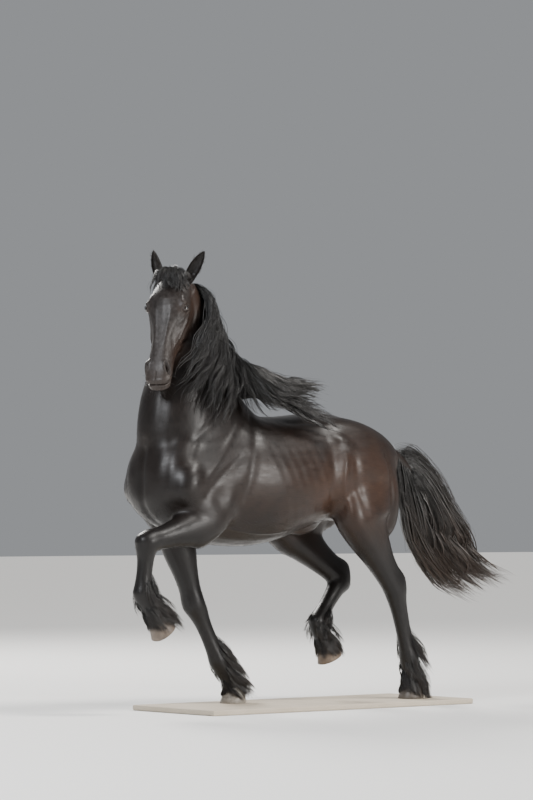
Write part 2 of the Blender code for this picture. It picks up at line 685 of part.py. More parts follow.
def mouth_object(frame):
    """The cutter of the mouth line: a thin wedge that runs round the muzzle between the lips."""
    bm = bmesh.new()
    rings = []
    for turn in np.linspace(-1, 1, 13):
        share = abs(turn) ** 1.6
        outer = Vector(MOUTH_FRONT).lerp(Vector(MOUTH_CORNER), share)
        outer.x = math.copysign(MOUTH_CORNER[0] * math.sin(abs(turn) * math.pi / 2), turn)
        outward = Vector((math.sin(turn * math.pi / 2), math.cos(turn * math.pi / 2), 0.05))
        far, near = outer + outward * 0.030, outer - outward * 0.014
        half = Vector((0, 0, MOUTH_GROOVE))
        rings.append([frame @ p for p in (far + half, near, far - half)])
    skin_rings(bm, rings)
    bmesh.ops.recalc_face_normals(bm, faces=bm.faces)
    mesh = bpy.data.meshes.new("mouth")
    bm.to_mesh(mesh)
    bm.free()
    return object_of("mouth", mesh)


def detailed_head(head):
    """Eye sockets, lids, nostrils and the mouth line in the head, and the eyes as parts of their own."""
    frame = head_frame()
    lids, sockets = [], []
    skin = surface_of([head])
    for hand in (1, -1):
        near, normal, _, _ = skin.find_nearest(frame @ mirrored(EYE_PROBE, hand))
        centre = near - normal * EYE_SUNK
        lids += [lid_object(frame, centre, hand, upper) for upper in (True, False)]
        eye = sphere_object(centre, EYE_RADIUS, "eye")
        eye.name = "eye_left" if hand > 0 else "eye_right"
        sockets.append(sphere_object(centre, EYE_RADIUS + 2 * GAP, "coat"))
        near, normal, _, _ = skin.find_nearest(frame @ mirrored(NOSTRIL_PROBE, hand))
        turn = frame.to_3x3().to_4x4() @ Matrix.Rotation(-hand * math.radians(NOSTRIL_TURN_DEG), 4, "Z")
        cut_away(head, sphere_object(near, 1.0, "coat", NOSTRIL_SIZE, turn, 2))
    cut_away(head, mouth_object(frame))
    keep_largest(head)
    head.name = "core"
    joined = union_all("head", [head, *lids], "coat")
    for socket in sockets:
        cut_away(joined, socket)
    keep_largest(joined)
    return joined


def swollen(obj):
    """A copy of the object, a gap larger all round."""
    copy = object_of("swollen", obj.data.copy())
    swell = copy.modifiers.new("Swell", "DISPLACE")
    swell.mid_level = 0.0
    swell.strength = 3 * GAP
    return applied(copy)


def ear_object(hand, head):
    """A cupped ear that stands on the head with a thin gap under it."""
    frame = head_frame()
    base = mirrored(EAR_BASE, 1 if hand == "left" else -1)
    tip = Vector(EAR_TIPS[hand])
    outwards = (Vector((0.45 if hand == "left" else -0.45, 0.05, 0.90))).normalized()
    up = (tip - base).normalized()
    side = up.cross(outwards).normalized()
    front = side.cross(up)
    bm = bmesh.new()
    rings = []
    for share in np.linspace(-0.10, 1.0, 9):
        width = EAR_WIDTH * (0.66 + 1.90 * max(share, 0)) * max(1.0 - max(share, 0), 0.03) ** 0.8
        deep = 0.75 * width
        scoop = min(max((share - 0.10) / 0.25, 0.0), 1.0)
        wall = min(EAR_WALL, 0.35 * width)
        middle = base.lerp(tip, share) + front * (0.012 * math.sin(max(share, 0) * math.pi))
        ring = []
        for i in range(9):
            turn = math.pi * i / 8
            ring.append(middle + side * (width * math.cos(turn)) - front * (deep * math.sin(turn)))
        for i in range(7, 0, -1):
            turn = math.pi * i / 8
            cup = (deep - wall) * math.sin(turn)
            bulge = -0.6 * deep * math.sin(turn)
            inward = bulge + (cup - bulge) * scoop
            ring.append(middle + side * ((width - wall) * math.cos(turn)) - front * inward)
        rings.append([frame @ p for p in ring])
    skin_rings(bm, rings)
    bmesh.ops.recalc_face_normals(bm, faces=bm.faces)
    mesh = bpy.data.meshes.new("ear")
    bm.to_mesh(mesh)
    bm.free()
    ear = object_of(f"ear_{hand}", mesh)
    cut_away(ear, swollen(head))
    keep_largest(ear)
    return ear


def hoof_object(name, joints):
    """The hoof's wall from its sole to its flat top, in the line of the pastern."""
    top, sole = place(*joints[4]), place(*joints[5])
    up = (top - sole).normalized()
    side = Vector((1, 0, 0))
    side = (side - up * side.dot(up)).normalized()
    ahead = side.cross(up)
    bm = bmesh.new()
    rings = []
    for share, size in ((0.0, 0.975), (0.04, 1.0), (0.55, 0.875), (0.92, 0.79), (1.0, 0.74)):
        shift = HOOF_TOP_SHIFT * share
        ring = []
        for i in range(HOOF_SIDES):
            turn = 2 * math.pi * i / HOOF_SIDES
            long = math.sin(turn) * HOOF_HALF_LENGTH * (1.0 if math.sin(turn) > 0 else 0.92)
            wide = math.copysign(abs(math.cos(turn)) ** 0.85, math.cos(turn)) * HOOF_HALF_WIDTH
            height = HOOF_HEIGHT * share
            ring.append(sole + up * (height + GAP) + ahead * (shift + long * size) + side * (wide * size))
        rings.append(ring)
    skin_rings(bm, rings)
    bmesh.ops.recalc_face_normals(bm, faces=bm.faces)
    mesh = bpy.data.meshes.new("hoof")
    bm.to_mesh(mesh)
    bm.free()
    return object_of(f"{name}_hoof", mesh, "hoof")


def trimmed_to_hoof(cannon, joints):
    """End the cannon's part flat, a gap above the hoof's top."""
    top, sole = place(*joints[4]), place(*joints[5])
    up = (top - sole).normalized()
    level = sole + up * (HOOF_HEIGHT + 2 * GAP)
    bm = bmesh.new()
    bm.from_mesh(cannon.data)
    geometry = list(bm.verts) + list(bm.edges) + list(bm.faces)
    cut = bmesh.ops.bisect_plane(bm, geom=geometry, plane_co=level, plane_no=up, clear_inner=True)
    rim = [e for e in cut["geom_cut"] if isinstance(e, bmesh.types.BMEdge)]
    bmesh.ops.holes_fill(bm, edges=rim)
    bmesh.ops.recalc_face_normals(bm, faces=bm.faces)
    bm.to_mesh(cannon.data)
    bm.free()
    return cannon


def base_object():
    bm = bmesh.new()
    size = Matrix.Diagonal((BASE_WIDTH, BASE_LENGTH, BASE_THICKNESS, 1.0))
    bmesh.ops.create_cube(bm, size=1.0, matrix=Matrix.Translation((0, 0, BASE_THICKNESS / 2)) @ size)
    mesh = bpy.data.meshes.new("base")
    bm.to_mesh(mesh)
    bm.free()
    base = object_of("stand_base", mesh, "base")
    bevel = base.modifiers.new("Edges", "BEVEL")
    bevel.width = BASE_BEVEL
    bevel.segments = 3
    return applied(base)


def pushed_clear(path, trees, clearance):
    """The path with all but its root moved out to the clearance from every surface."""
    made = [path[0].copy()]
    for point in path[1:]:
        point = point.copy()
        for _ in range(4):
            moved = False
            for tree in trees:
                near, normal, _, distance = tree.find_nearest(point)
                inside = (point - near).dot(normal) < 0
                if inside or distance < clearance:
                    point = near + normal * (clearance * 1.02)
                    moved = True
            if not moved:
                break
        point.z = max(point.z, BASE_THICKNESS + clearance)
        made.append(point)
    return made


def even_path(path, spans):
    """Points spread evenly along a smooth curve through the path."""
    curve = [Vector(p) for p in catmull([tuple(p) for p in path], 8)]
    reach = [0.0]
    for a, b in zip(curve, curve[1:]):
        reach.append(reach[-1] + (b - a).length)
    made = []
    for i in range(spans + 1):
        wanted = reach[-1] * i / spans
        j = min(max(int(np.searchsorted(reach, wanted)), 1), len(curve) - 1)
        share = (wanted - reach[j - 1]) / max(reach[j] - reach[j - 1], 1e-9)
        made.append(curve[j - 1].lerp(curve[j], share))
    return made


def lock_object(path, width, thickness, tree):
    """A flat tapered lock along the path, broad side to the nearest surface, closed at both ends."""
    bm = bmesh.new()
    rings = []
    count = len(path)
    for i, point in enumerate(path[:-1]):
        along = (path[i + 1] - path[max(i - 1, 0)]).normalized()
        near, normal, _, _ = tree.find_nearest(point)
        out = out.lerp((point - near).normalized(), 0.5) if i else normal
        out = (out - along * out.dot(along)).normalized()
        side = along.cross(out)
        share = i / (count - 1)
        taper = (0.70 + 1.1 * share) if share < 0.3 else 1.03 * (1 - ((share - 0.3) / 0.78) ** 1.7)
        half, deep = width * taper / 2, thickness * (0.55 + 0.45 * taper) / 2
        rings.append([point + side * half, point + out * deep, point - side * half, point - out * deep])
    rows = [[bm.verts.new(p) for p in ring] for ring in rings]
    tip = bm.verts.new(path[-1])
    for low, high in zip(rows, rows[1:]):
        for i in range(4):
            j = (i + 1) % 4
            bm.faces.new((low[i], low[j], high[j], high[i]))
    for i in range(4):
        bm.faces.new((rows[-1][i], rows[-1][(i + 1) % 4], tip))
    bm.faces.new(rows[0][::-1])
    bmesh.ops.triangulate(bm, faces=bm.faces)
    bmesh.ops.recalc_face_normals(bm, faces=bm.faces)
    mesh = bpy.data.meshes.new("lock")
    bm.to_mesh(mesh)
    bm.free()
    return object_of("lock", mesh, "hair")


def guide_at(guides, share):
    """A path between the guides, share 0 at the first and 1 at the last."""
    flat = [[value for point in guide for value in point] for guide in guides]
    curve = catmull(flat, 16)
    row = curve[round(share * (len(curve) - 1))]
    return [Vector(row[i:i + 3]) for i in range(0, len(row), 3)]


def guide_locks(guides, numbers, to_model, own, trees, rng):
    """Locks spread over the guides, each a little wavy and of its own length."""
    count, width, thickness, wave, spread, shortest = numbers
    made = []
    for i in range(count):
        share = (i + 0.5) / count
        guide = [to_model(p) for p in guide_at(guides, min(max(share + rng.uniform(-0.4, 0.4) / count, 0), 1))]
        path = even_path(guide, LOCK_SPANS * 2)
        path = path[:round(len(path) * rng.uniform(shortest, 1.0))]
        offset = Vector((rng.uniform(-spread, spread), 0, 0))
        turn = rng.uniform(0, 2 * math.pi)
        for j, point in enumerate(path):
            reach = j / (len(path) - 1)
            sway = wave * reach * math.sin(turn + 5.0 * reach)
            path[j] = point + offset * min(reach * 3, 1) + Vector((sway, sway * 0.6, -sway * 0.4))
        path = even_path(path, LOCK_SPANS)
        lift = thickness / 2 + LOCK_CLEARANCE + rng.uniform(0, thickness)
        path = pushed_clear(path, trees, lift)
        near, normal, _, _ = own.find_nearest(path[0])
        if (path[0] - near).dot(normal) > -LOCK_ROOT:
            path[0] = near - normal * LOCK_ROOT
        made.append(lock_object(path, width * rng.uniform(0.85, 1.1), thickness, own))
    return made


def feather_locks(name, joints, own, trees, rng):
    """Locks round the back of the fetlock and the lower cannon, swept down and back."""
    count, width, thickness, length, flare, drift = FEATHERS[name]
    made = []
    for i in range(count):
        share = (i + 0.5) / count
        swing = math.radians(FEATHER_SWING_DEG) * math.sin(i * 2.4)
        high = FEATHER_TOP + (FEATHER_BOTTOM - FEATHER_TOP) * share
        middle, down = along_bone(joints, 2, high)
        side = Vector((1, 0, 0))
        side = (side - down * side.dot(down)).normalized()
        back = side.cross(down)
        out = back * math.cos(swing) + side * math.sin(swing)
        near, normal, _, _ = own.find_nearest(middle + out * 0.05)
        lean = place(drift[0], 0, drift[1]) - place(0, 0, 0)
        reach = length * rng.uniform(0.85, 1.1)
        path = [near - normal * 0.010]
        for step in range(1, LOCK_SPANS + 1):
            along = step / LOCK_SPANS
            puff = out * (flare * math.sin(along * math.pi * 0.62))
            path.append(near + down * (reach * along) + puff + lean * along**2 * reach)
        path = pushed_clear(path, trees, thickness / 2 + LOCK_CLEARANCE)
        made.append(lock_object(path, width * rng.uniform(0.85, 1.1), thickness, own))
    return made


def finish_node(obj, finish=None):
    """Smooth shading and a material of the node's own."""
    for face in obj.data.polygons:
        face.use_smooth = True
    own = obj.data.materials[0].copy() if finish is None else material(finish).copy()
    own.name = obj.name
    obj.data.materials.clear()
    obj.data.materials.append(own)


def with_locks(obj, locks, neighbours):
    """The node with its locks fused to it by one union, cut back from its neighbours."""
    name = obj.name
    obj.name = "core"
    fused = union_all(name, [obj, *locks], "coat")
    for neighbour in neighbours:
        cut_away(fused, swollen(neighbour), "MANIFOLD")
    keep_largest(fused)
    return fused


def main():
    clear_scene()
    body = reduced(body_mesh(VOXEL, SMOOTHING_ROUNDS))
    parts = part_body(body)
    parts["head"] = detailed_head(parts["head"])
    ears = [ear_object(hand, parts["head"]) for hand in EAR_TIPS]
    hooves = {}
    for name, joints, _ in legs():
        hooves[name] = hoof_object(name, joints)
        trimmed_to_hoof(parts[f"{name}_cannon"], joints)
    whole = surface_of([*parts.values(), *ears, *hooves.values()])
    trees = {name: surface_of([obj]) for name, obj in parts.items()}
    rng = random.Random(HAIR_SEED)
    frame = head_frame()
    locks = {
        "neck": guide_locks(MANE_GUIDES, MANE_LOCKS, lambda p: place(*p), trees["neck"], [whole], rng),
        "tail": guide_locks(TAIL_GUIDES, TAIL_LOCKS, lambda p: place(*p), trees["tail"], [whole], rng),
        "head": guide_locks(FORELOCK_GUIDES, FORELOCK_LOCKS, lambda p: frame @ p, trees["head"], [whole], rng),
    }
    for name, joints, _ in legs():
        locks[f"{name}_cannon"] = feather_locks(name, joints, trees[f"{name}_cannon"], [whole], rng)
    neighbours = {
        "neck": [parts["torso"], parts["head"], *ears],
        "tail": [parts["torso"]],
        "head": ears,
    }
    neighbours.update({f"{name}_cannon": [hoof] for name, hoof in hooves.items()})
    for name, made in locks.items():
        parts[name] = with_locks(parts[name], made, neighbours[name])
    base_object()
    for obj in list(bpy.data.objects):
        finish_node(obj)


main()
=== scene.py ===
"""The looks of the Friesian horse: skin, eyes, ears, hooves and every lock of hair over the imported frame.

The skin repeats the part's ribs and muscles at a finer grain, and adds folds, veins, lids, nostrils
and lips. Long hair is solid mesh: thin closed strands that follow guides along the mane, forelock,
tail and feathers. Lengths are in metres, and the horse faces -Y with its left side at +X.
"""

import json
import math

import bmesh
import bpy
import numpy as np
from bpy.props import FloatProperty, FloatVectorProperty, IntProperty, PointerProperty
from mathutils import Matrix, Vector
from mathutils.bvhtree import BVHTree

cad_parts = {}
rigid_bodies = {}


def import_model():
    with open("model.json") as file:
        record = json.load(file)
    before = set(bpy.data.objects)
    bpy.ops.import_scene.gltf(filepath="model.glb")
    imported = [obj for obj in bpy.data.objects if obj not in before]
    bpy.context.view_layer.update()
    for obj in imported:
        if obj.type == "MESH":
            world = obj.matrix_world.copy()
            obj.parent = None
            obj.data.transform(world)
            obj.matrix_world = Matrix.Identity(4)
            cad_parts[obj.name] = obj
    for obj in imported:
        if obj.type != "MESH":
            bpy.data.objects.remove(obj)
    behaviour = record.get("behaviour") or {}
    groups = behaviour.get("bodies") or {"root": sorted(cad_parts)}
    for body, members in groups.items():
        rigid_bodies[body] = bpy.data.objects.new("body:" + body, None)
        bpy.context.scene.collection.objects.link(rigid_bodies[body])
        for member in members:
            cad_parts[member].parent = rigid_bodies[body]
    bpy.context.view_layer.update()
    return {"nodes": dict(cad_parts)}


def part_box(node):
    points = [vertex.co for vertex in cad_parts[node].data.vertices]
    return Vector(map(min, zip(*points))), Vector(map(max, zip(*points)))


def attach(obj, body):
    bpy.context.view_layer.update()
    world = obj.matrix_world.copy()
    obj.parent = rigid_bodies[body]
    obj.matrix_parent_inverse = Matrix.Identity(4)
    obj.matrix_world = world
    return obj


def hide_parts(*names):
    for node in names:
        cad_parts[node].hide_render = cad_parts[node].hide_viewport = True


bl_info = {
    "name": "Friesian horse",
    "version": (1, 0, 0),
    "blender": (4, 5, 0),
    "location": "3D View > Sidebar > Horse",
    "description": "Dresses the packed frame of a Friesian horse at the trot",
    "category": "Object",
}

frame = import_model()
BASE_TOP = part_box("stand_base")[1].z

# The torso's ribs: forward, top, height of the widest place, bottom, half width.
TORSO_RIBS = (
    (-0.578, 1.300, 1.220, 1.130, 0.045),
    (-0.562, 1.365, 1.220, 1.050, 0.115),
    (-0.505, 1.430, 1.230, 1.000, 0.190),
    (-0.400, 1.492, 1.245, 0.985, 0.248),
    (-0.240, 1.560, 1.260, 0.985, 0.285),
    (-0.080, 1.590, 1.250, 0.985, 0.290),
    (0.080, 1.578, 1.220, 0.940, 0.288),
    (0.240, 1.562, 1.200, 0.885, 0.305),
    (0.400, 1.565, 1.190, 0.855, 0.312),
    (0.540, 1.610, 1.190, 0.850, 0.298),
    (0.680, 1.640, 1.190, 0.860, 0.275),
    (0.820, 1.620, 1.190, 0.885, 0.272),
    (0.940, 1.560, 1.190, 0.925, 0.268),
    (1.040, 1.480, 1.190, 0.975, 0.245),
    (1.105, 1.400, 1.180, 1.030, 0.190),
    (1.138, 1.290, 1.175, 1.090, 0.090),
)

# The neck's ribs: crest forward and up, throat forward and up, left, half width.
NECK_RIBS = (
    (0.300, 1.480, 0.980, 1.050, 0.000, 0.170),
    (0.400, 1.580, 1.090, 1.230, 0.000, 0.225),
    (0.500, 1.665, 1.130, 1.430, 0.000, 0.212),
    (0.590, 1.785, 1.115, 1.620, 0.003, 0.182),
    (0.660, 1.915, 1.062, 1.780, 0.016, 0.152),
    (0.722, 2.045, 0.995, 1.915, 0.040, 0.124),
    (0.795, 2.170, 0.960, 2.020, 0.066, 0.104),
    (0.875, 2.262, 0.985, 2.100, 0.083, 0.090),
)

# The head's ribs, down the face from the poll: distance, face, widest place, jaw, half width.
HEAD_RIBS = (
    (-0.014, -0.040, -0.070, -0.100, 0.034),
    (0.008, -0.008, -0.070, -0.140, 0.078),
    (0.060, 0.020, -0.060, -0.175, 0.098),
    (0.120, 0.038, -0.045, -0.215, 0.112),
    (0.175, 0.042, -0.035, -0.240, 0.118),
    (0.230, 0.036, -0.045, -0.250, 0.108),
    (0.290, 0.026, -0.065, -0.238, 0.092),
    (0.350, 0.018, -0.065, -0.195, 0.077),
    (0.410, 0.012, -0.058, -0.152, 0.067),
    (0.470, 0.008, -0.052, -0.130, 0.065),
    (0.530, 0.004, -0.050, -0.122, 0.072),
    (0.585, -0.008, -0.055, -0.120, 0.072),
    (0.625, -0.026, -0.062, -0.112, 0.060),
    (0.646, -0.048, -0.070, -0.095, 0.028),
)
POLL = (1.000, 0.082, 2.290)
HEAD_YAW_DEG = 29.0
HEAD_PITCH_DEG = 23.5

# Forms of the head, in its own frame: left, down the face, out of the face. Each is made on both sides.
HEAD_FORMS = (
    ("brow", (0.080, 0.125, 0.006), (0.096, 0.200, 0.000), 0.026, 0.026),
    ("orbit", (0.090, 0.160, -0.045), (0.092, 0.215, -0.045), 0.028, 0.030),
    ("face_crest", (0.086, 0.245, -0.060), (0.058, 0.400, -0.050), 0.014, 0.018),
    ("cheek", (0.072, 0.110, -0.140), (0.066, 0.265, -0.175), 0.036, 0.070),
    ("nostril_rim", (0.046, 0.500, -0.012), (0.060, 0.575, -0.034), 0.018, 0.026),
    ("upper_lip", (0.028, 0.590, -0.040), (0.030, 0.630, -0.060), 0.030, 0.026),
    ("chin", (0.008, 0.560, -0.122), (0.012, 0.610, -0.118), 0.030, 0.024),
)

# Joints of each leg, from the body down: forward, left, up. The last is the middle of the sole.
FORE_JOINTS = {
    "left": ((0.985, 0.180, 1.190), (0.835, 0.195, 0.985), (1.252, 0.190, 0.880), (1.268, 0.172, 0.610),
             (1.180, 0.165, 0.490), (1.112, 0.160, 0.405)),
    "right": ((0.970, -0.185, 1.150), (0.780, -0.195, 0.965), (0.655, -0.165, 0.540), (0.505, -0.142, 0.228),
              (0.405, -0.134, 0.086), (0.405, -0.134, 0.000)),
}
HIND_JOINTS = {
    "left": ((-0.270, 0.150, 1.270), (-0.160, 0.205, 0.985), (-0.505, 0.160, 0.610), (-0.630, 0.140, 0.222),
             (-0.650, 0.138, 0.086), (-0.650, 0.138, 0.000)),
    "right": ((-0.160, -0.150, 1.240), (0.060, -0.185, 0.940), (-0.350, -0.120, 0.668),
              (-0.135, -0.070, 0.432), (-0.195, -0.068, 0.300), (-0.232, -0.066, 0.225)),
}

# Leg ribs: bone, place along it, radius to the front, to the back, half width.
FORE_PROFILE = (
    (0, 0.00, 0.100, 0.120, 0.075), (0, 0.55, 0.110, 0.145, 0.086), (0, 0.95, 0.110, 0.140, 0.086),
    (1, 0.18, 0.106, 0.122, 0.084), (1, 0.38, 0.094, 0.100, 0.078), (1, 0.60, 0.073, 0.078, 0.067),
    (1, 0.80, 0.062, 0.066, 0.060), (1, 0.93, 0.068, 0.065, 0.064), (2, 0.03, 0.070, 0.066, 0.064),
    (2, 0.16, 0.056, 0.066, 0.054), (2, 0.34, 0.043, 0.057, 0.044), (2, 0.60, 0.040, 0.054, 0.041),
    (2, 0.84, 0.044, 0.060, 0.047), (2, 0.97, 0.052, 0.068, 0.054), (3, 0.20, 0.050, 0.060, 0.051),
    (3, 0.60, 0.045, 0.051, 0.047), (3, 0.98, 0.051, 0.050, 0.053), (4, 0.30, 0.050, 0.046, 0.051),
)
HIND_PROFILE = (
    (0, -0.20, 0.130, 0.200, 0.090), (0, 0.25, 0.170, 0.250, 0.112), (0, 0.65, 0.160, 0.265, 0.115),
    (0, 0.97, 0.105, 0.260, 0.104), (1, 0.18, 0.086, 0.228, 0.096), (1, 0.40, 0.074, 0.170, 0.082),
    (1, 0.62, 0.064, 0.122, 0.066), (1, 0.82, 0.060, 0.103, 0.057), (1, 0.96, 0.063, 0.106, 0.057),
    (2, 0.06, 0.061, 0.086, 0.056), (2, 0.18, 0.052, 0.068, 0.050), (2, 0.36, 0.044, 0.060, 0.044),
    (2, 0.62, 0.041, 0.056, 0.041), (2, 0.85, 0.045, 0.064, 0.047), (2, 0.97, 0.052, 0.071, 0.055),
    (3, 0.25, 0.049, 0.060, 0.051), (3, 0.62, 0.045, 0.051, 0.047), (3, 0.98, 0.051, 0.050, 0.053),
    (4, 0.30, 0.050, 0.046, 0.051),
)

# Muscles: name, ends (forward, left, up), radius outwards, radius across. Each is made on both sides.
MUSCLES = (
    ("scapula", (0.640, 0.130, 1.540), (0.930, 0.200, 1.180), 0.075, 0.120),
    ("triceps", (0.640, 0.170, 1.240), (0.800, 0.205, 1.020), 0.085, 0.125),
    ("breast", (1.040, 0.085, 1.330), (1.030, 0.095, 1.080), 0.110, 0.105),
    ("shoulder_point", (0.960, 0.205, 1.260), (1.010, 0.215, 1.120), 0.080, 0.095),
    ("croup", (0.020, 0.130, 1.460), (-0.480, 0.120, 1.330), 0.120, 0.150),
    ("hip", (0.000, 0.200, 1.430), (-0.120, 0.220, 1.330), 0.060, 0.080),
)
# Both ends of each buttock: the right one goes forward with its raised leg.
BUTTOCKS = (
    ((-0.400, 0.120, 1.370), (-0.440, 0.150, 0.960)),
    ((-0.400, -0.120, 1.370), (-0.270, -0.155, 1.000)),
)
BUTTOCK_RADII = (0.105, 0.115)
SHEATH_ENDS = ((0.120, 0.0, 0.955), (-0.060, 0.0, 0.985))
SHEATH_RADII = (0.055, 0.060)

# The dock, from the croup out: forward, up, radius.
DOCK = ((-0.460, 1.385, 0.055), (-0.560, 1.385, 0.048), (-0.660, 1.350, 0.040), (-0.750, 1.285, 0.030),
        (-0.810, 1.220, 0.014))

# Guides of the mane from the crest to the tips, from the withers up to the poll.
MANE_GUIDES = (
    ((0.5, 0.0, 1.66), (0.44, 0.12, 1.655), (0.34, 0.21, 1.6), (0.2, 0.27, 1.53), (0.06, 0.29, 1.48),
     (-0.08, 0.29, 1.45)),
    ((0.53, 0.0, 1.69), (0.44, 0.05, 1.72), (0.32, 0.08, 1.68), (0.2, 0.1, 1.64), (0.07, 0.1, 1.625),
     (-0.05, 0.1, 1.61)),
    ((0.58, 0.0, 1.755), (0.5, 0.07, 1.79), (0.4, 0.12, 1.75), (0.28, 0.15, 1.71), (0.12, 0.14, 1.71),
     (-0.08, 0.12, 1.71)),
    ((0.65, 0.02, 1.88), (0.62, 0.08, 1.84), (0.56, 0.15, 1.74), (0.5, 0.21, 1.65), (0.42, 0.26, 1.59),
     (0.25, 0.27, 1.585)),
    ((0.72, 0.04, 2.03), (0.71, 0.11, 1.96), (0.7, 0.16, 1.83), (0.71, 0.21, 1.69), (0.75, 0.25, 1.55),
     (0.8, 0.28, 1.45)),
    ((0.8, 0.06, 2.18), (0.79, 0.13, 2.09), (0.8, 0.17, 1.94), (0.84, 0.2, 1.79), (0.91, 0.22, 1.65),
     (0.99, 0.23, 1.53)),
    ((0.87, 0.08, 2.26), (0.84, 0.16, 2.19), (0.86, 0.2, 2.05), (0.92, 0.21, 1.9), (1.02, 0.2, 1.76),
     (1.11, 0.16, 1.66)),
)

# Guides of the tail from the dock to the tips, forward and up, from its lower edge to its upper edge.
TAIL_GUIDES = (
    ((-0.665, 1.345), (-0.685, 1.230), (-0.700, 1.080), (-0.770, 0.850), (-0.980, 0.630), (-1.300, 0.490)),
    ((-0.770, 1.265), (-0.830, 1.190), (-0.900, 1.060), (-1.010, 0.860), (-1.210, 0.670), (-1.480, 0.560)),
    ((-0.660, 1.350), (-0.750, 1.365), (-0.920, 1.235), (-1.110, 1.000), (-1.300, 0.800), (-1.650, 0.650)),
)

# Guides of the forelock in the head's frame, from the poll down the face.
FORELOCK_GUIDES = (
    ((-0.03, 0.02, 0.0), (-0.05, 0.0, 0.034), (-0.072, 0.03, 0.04), (-0.086, 0.08, 0.026),
     (-0.094, 0.14, 0.006)),
    ((0.0, 0.015, 0.0), (0.01, -0.004, 0.042), (0.018, 0.03, 0.048), (0.03, 0.08, 0.036),
     (0.05, 0.135, 0.022)),
    ((0.03, 0.02, 0.0), (0.05, 0.0, 0.032), (0.085, 0.02, 0.036), (0.112, 0.064, 0.018),
     (0.128, 0.12, -0.01)),
)

EYE_RADIUS = 0.0230
EYE_TURN_DEG = 24.0
EYE_SLANT_DEG = 45.0
EAR_BASE = (0.070, 0.016, -0.050)
EAR_TIPS = {"left": (0.166, -0.136, 0.004), "right": (-0.128, -0.146, 0.014)}
EAR_WIDTH = 0.038
EAR_WALL = 0.006
HOOF_HALF_LENGTH = 0.074
HOOF_HALF_WIDTH = 0.068
HOOF_HEIGHT = 0.086
HOOF_TOP_SHIFT = -0.016

# Feathers: length, how far they stand off, and how they stream forward and up.
FEATHERS = {
    "fore_left": (0.200, 0.036, (-0.45, -0.05)),
    "fore_right": (0.195, 0.034, (-0.22, 0.0)),
    "hind_left": (0.200, 0.036, (-0.30, 0.0)),
    "hind_right": (0.150, 0.026, (-0.30, -0.10)),
}
# They start this far down the cannon. Of the span, 1 is on the cannon and the rest on the pastern. They get
# shorter downwards, and this share of the clumps rings the hoof's top, the others lie behind the leg.
FEATHER_START = 0.55
FEATHER_SPAN = 2.2
FEATHER_SHORTER = 0.30
FEATHER_RING = 0.42
FEATHER_TURN_DEG = 40
FEATHER_TURN_MORE_DEG = 75
FEATHER_CLUMP = 16
FEATHER_LIFT = 0.002
FEATHER_ROOT_DEPTH = 0.003
# How much of the long hair's painted glint the feathers keep.
FEATHER_SHEEN = 0.30
FEATHER_BROWN = 0.3

# How tan and how dark each hoof is.
HOOF_TONES = {"fore_left": (0.80, 0.40), "fore_right": (0.10, 0.00), "hind_left": (0.30, 0.80),
              "hind_right": (0.90, 0.15)}

# The cornea, how far it stands proud and over what angle, the whiskers, and how near two points are one.
CORNEA_BULGE = 0.0012
CORNEA_SPREAD = 0.55
WHISKER_COUNT = 60
WHISKER_RADIUS = 0.0003
WHISKER_REACH = (0.015, 0.040)
WHISKER_DROOP = -0.35
SAME_POINT = 0.00001

# Colours, linear.
COAT_BLACK = (0.0062, 0.0053, 0.0050)
COAT_BROWN = (0.0350, 0.0175, 0.0105)
# The pale coat: dust on the legs, and dust with painted sheen on the face.
COAT_DUST_AND_SHEEN = (0.0620, 0.0560, 0.0530)
BARE_SKIN = (0.0300, 0.0225, 0.0190)
HAIR_DARK = (0.0045, 0.0043, 0.0045)
# Pale strands: the hair's own tone with painted glint.
HAIR_PALE_GLINT = (0.0380, 0.0365, 0.0350)
HAIR_TIP = (0.0420, 0.0240, 0.0150)
EYE_BROWN = (0.012, 0.006, 0.003)
EYE_AMBER = (0.034, 0.015, 0.006)
EYE_RIM = (0.006, 0.004, 0.004)
EYE_WHITE = (0.024, 0.017, 0.014)
PUPIL_BLACK = (0.002, 0.002, 0.003)
HOOF_GREY = (0.400, 0.370, 0.320)
HOOF_TAN = (0.190, 0.125, 0.078)
HOOF_DARK = (0.042, 0.032, 0.026)
STAND_SAND = (0.460, 0.400, 0.320)
STAND_SHADE = (0.380, 0.325, 0.250)
FLOOR_PALE = (0.780, 0.775, 0.760)
STUDIO_PALE = (0.860, 0.890, 0.930)

# The finishes: scales of their noises, and how rough or raised they are.
COAT_HAIR_SCALE = (900.0, 60.0, 1.0)
COAT_SWIRL_SCALE = (160.0, 34.0, 1.0)
COAT_PATCH_SCALE = 5.0
COAT_FLECK = 0.8
COAT_ROUGHNESS = (0.33, 0.47)
COAT_BUMP = 0.45
COAT_BUMP_HEIGHT = 0.0006
PALE_SPECK_SCALE = 60.0
DUST_AND_SHEEN_ROUGHNESS = 0.16
SINEW_SCALE = 26.0
PORE_SCALE = 700.0
HAIR_ROUGHNESS = (0.34, 0.46)
HORN_STAIN_SCALE = 38.0
HORN_STREAK_SCALE = 330.0
HORN_STREAK_STRETCH = 0.12
HORN_RING_TURN = 88.0
SAND_GRAIN_SCALE = 900.0
SAND_BLOT_SCALE = 6.0

# The iris: half sizes of the pupil, and from where to where the iris ends and the white begins.
PUPIL_HALF_LENGTH = 0.0085
PUPIL_HALF_HEIGHT = 0.0042
IRIS_EDGE = (0.0125, 0.0150)
WHITE_EDGE = (0.0165, 0.0200)
IRIS_FIBRE_SCALE = 420.0

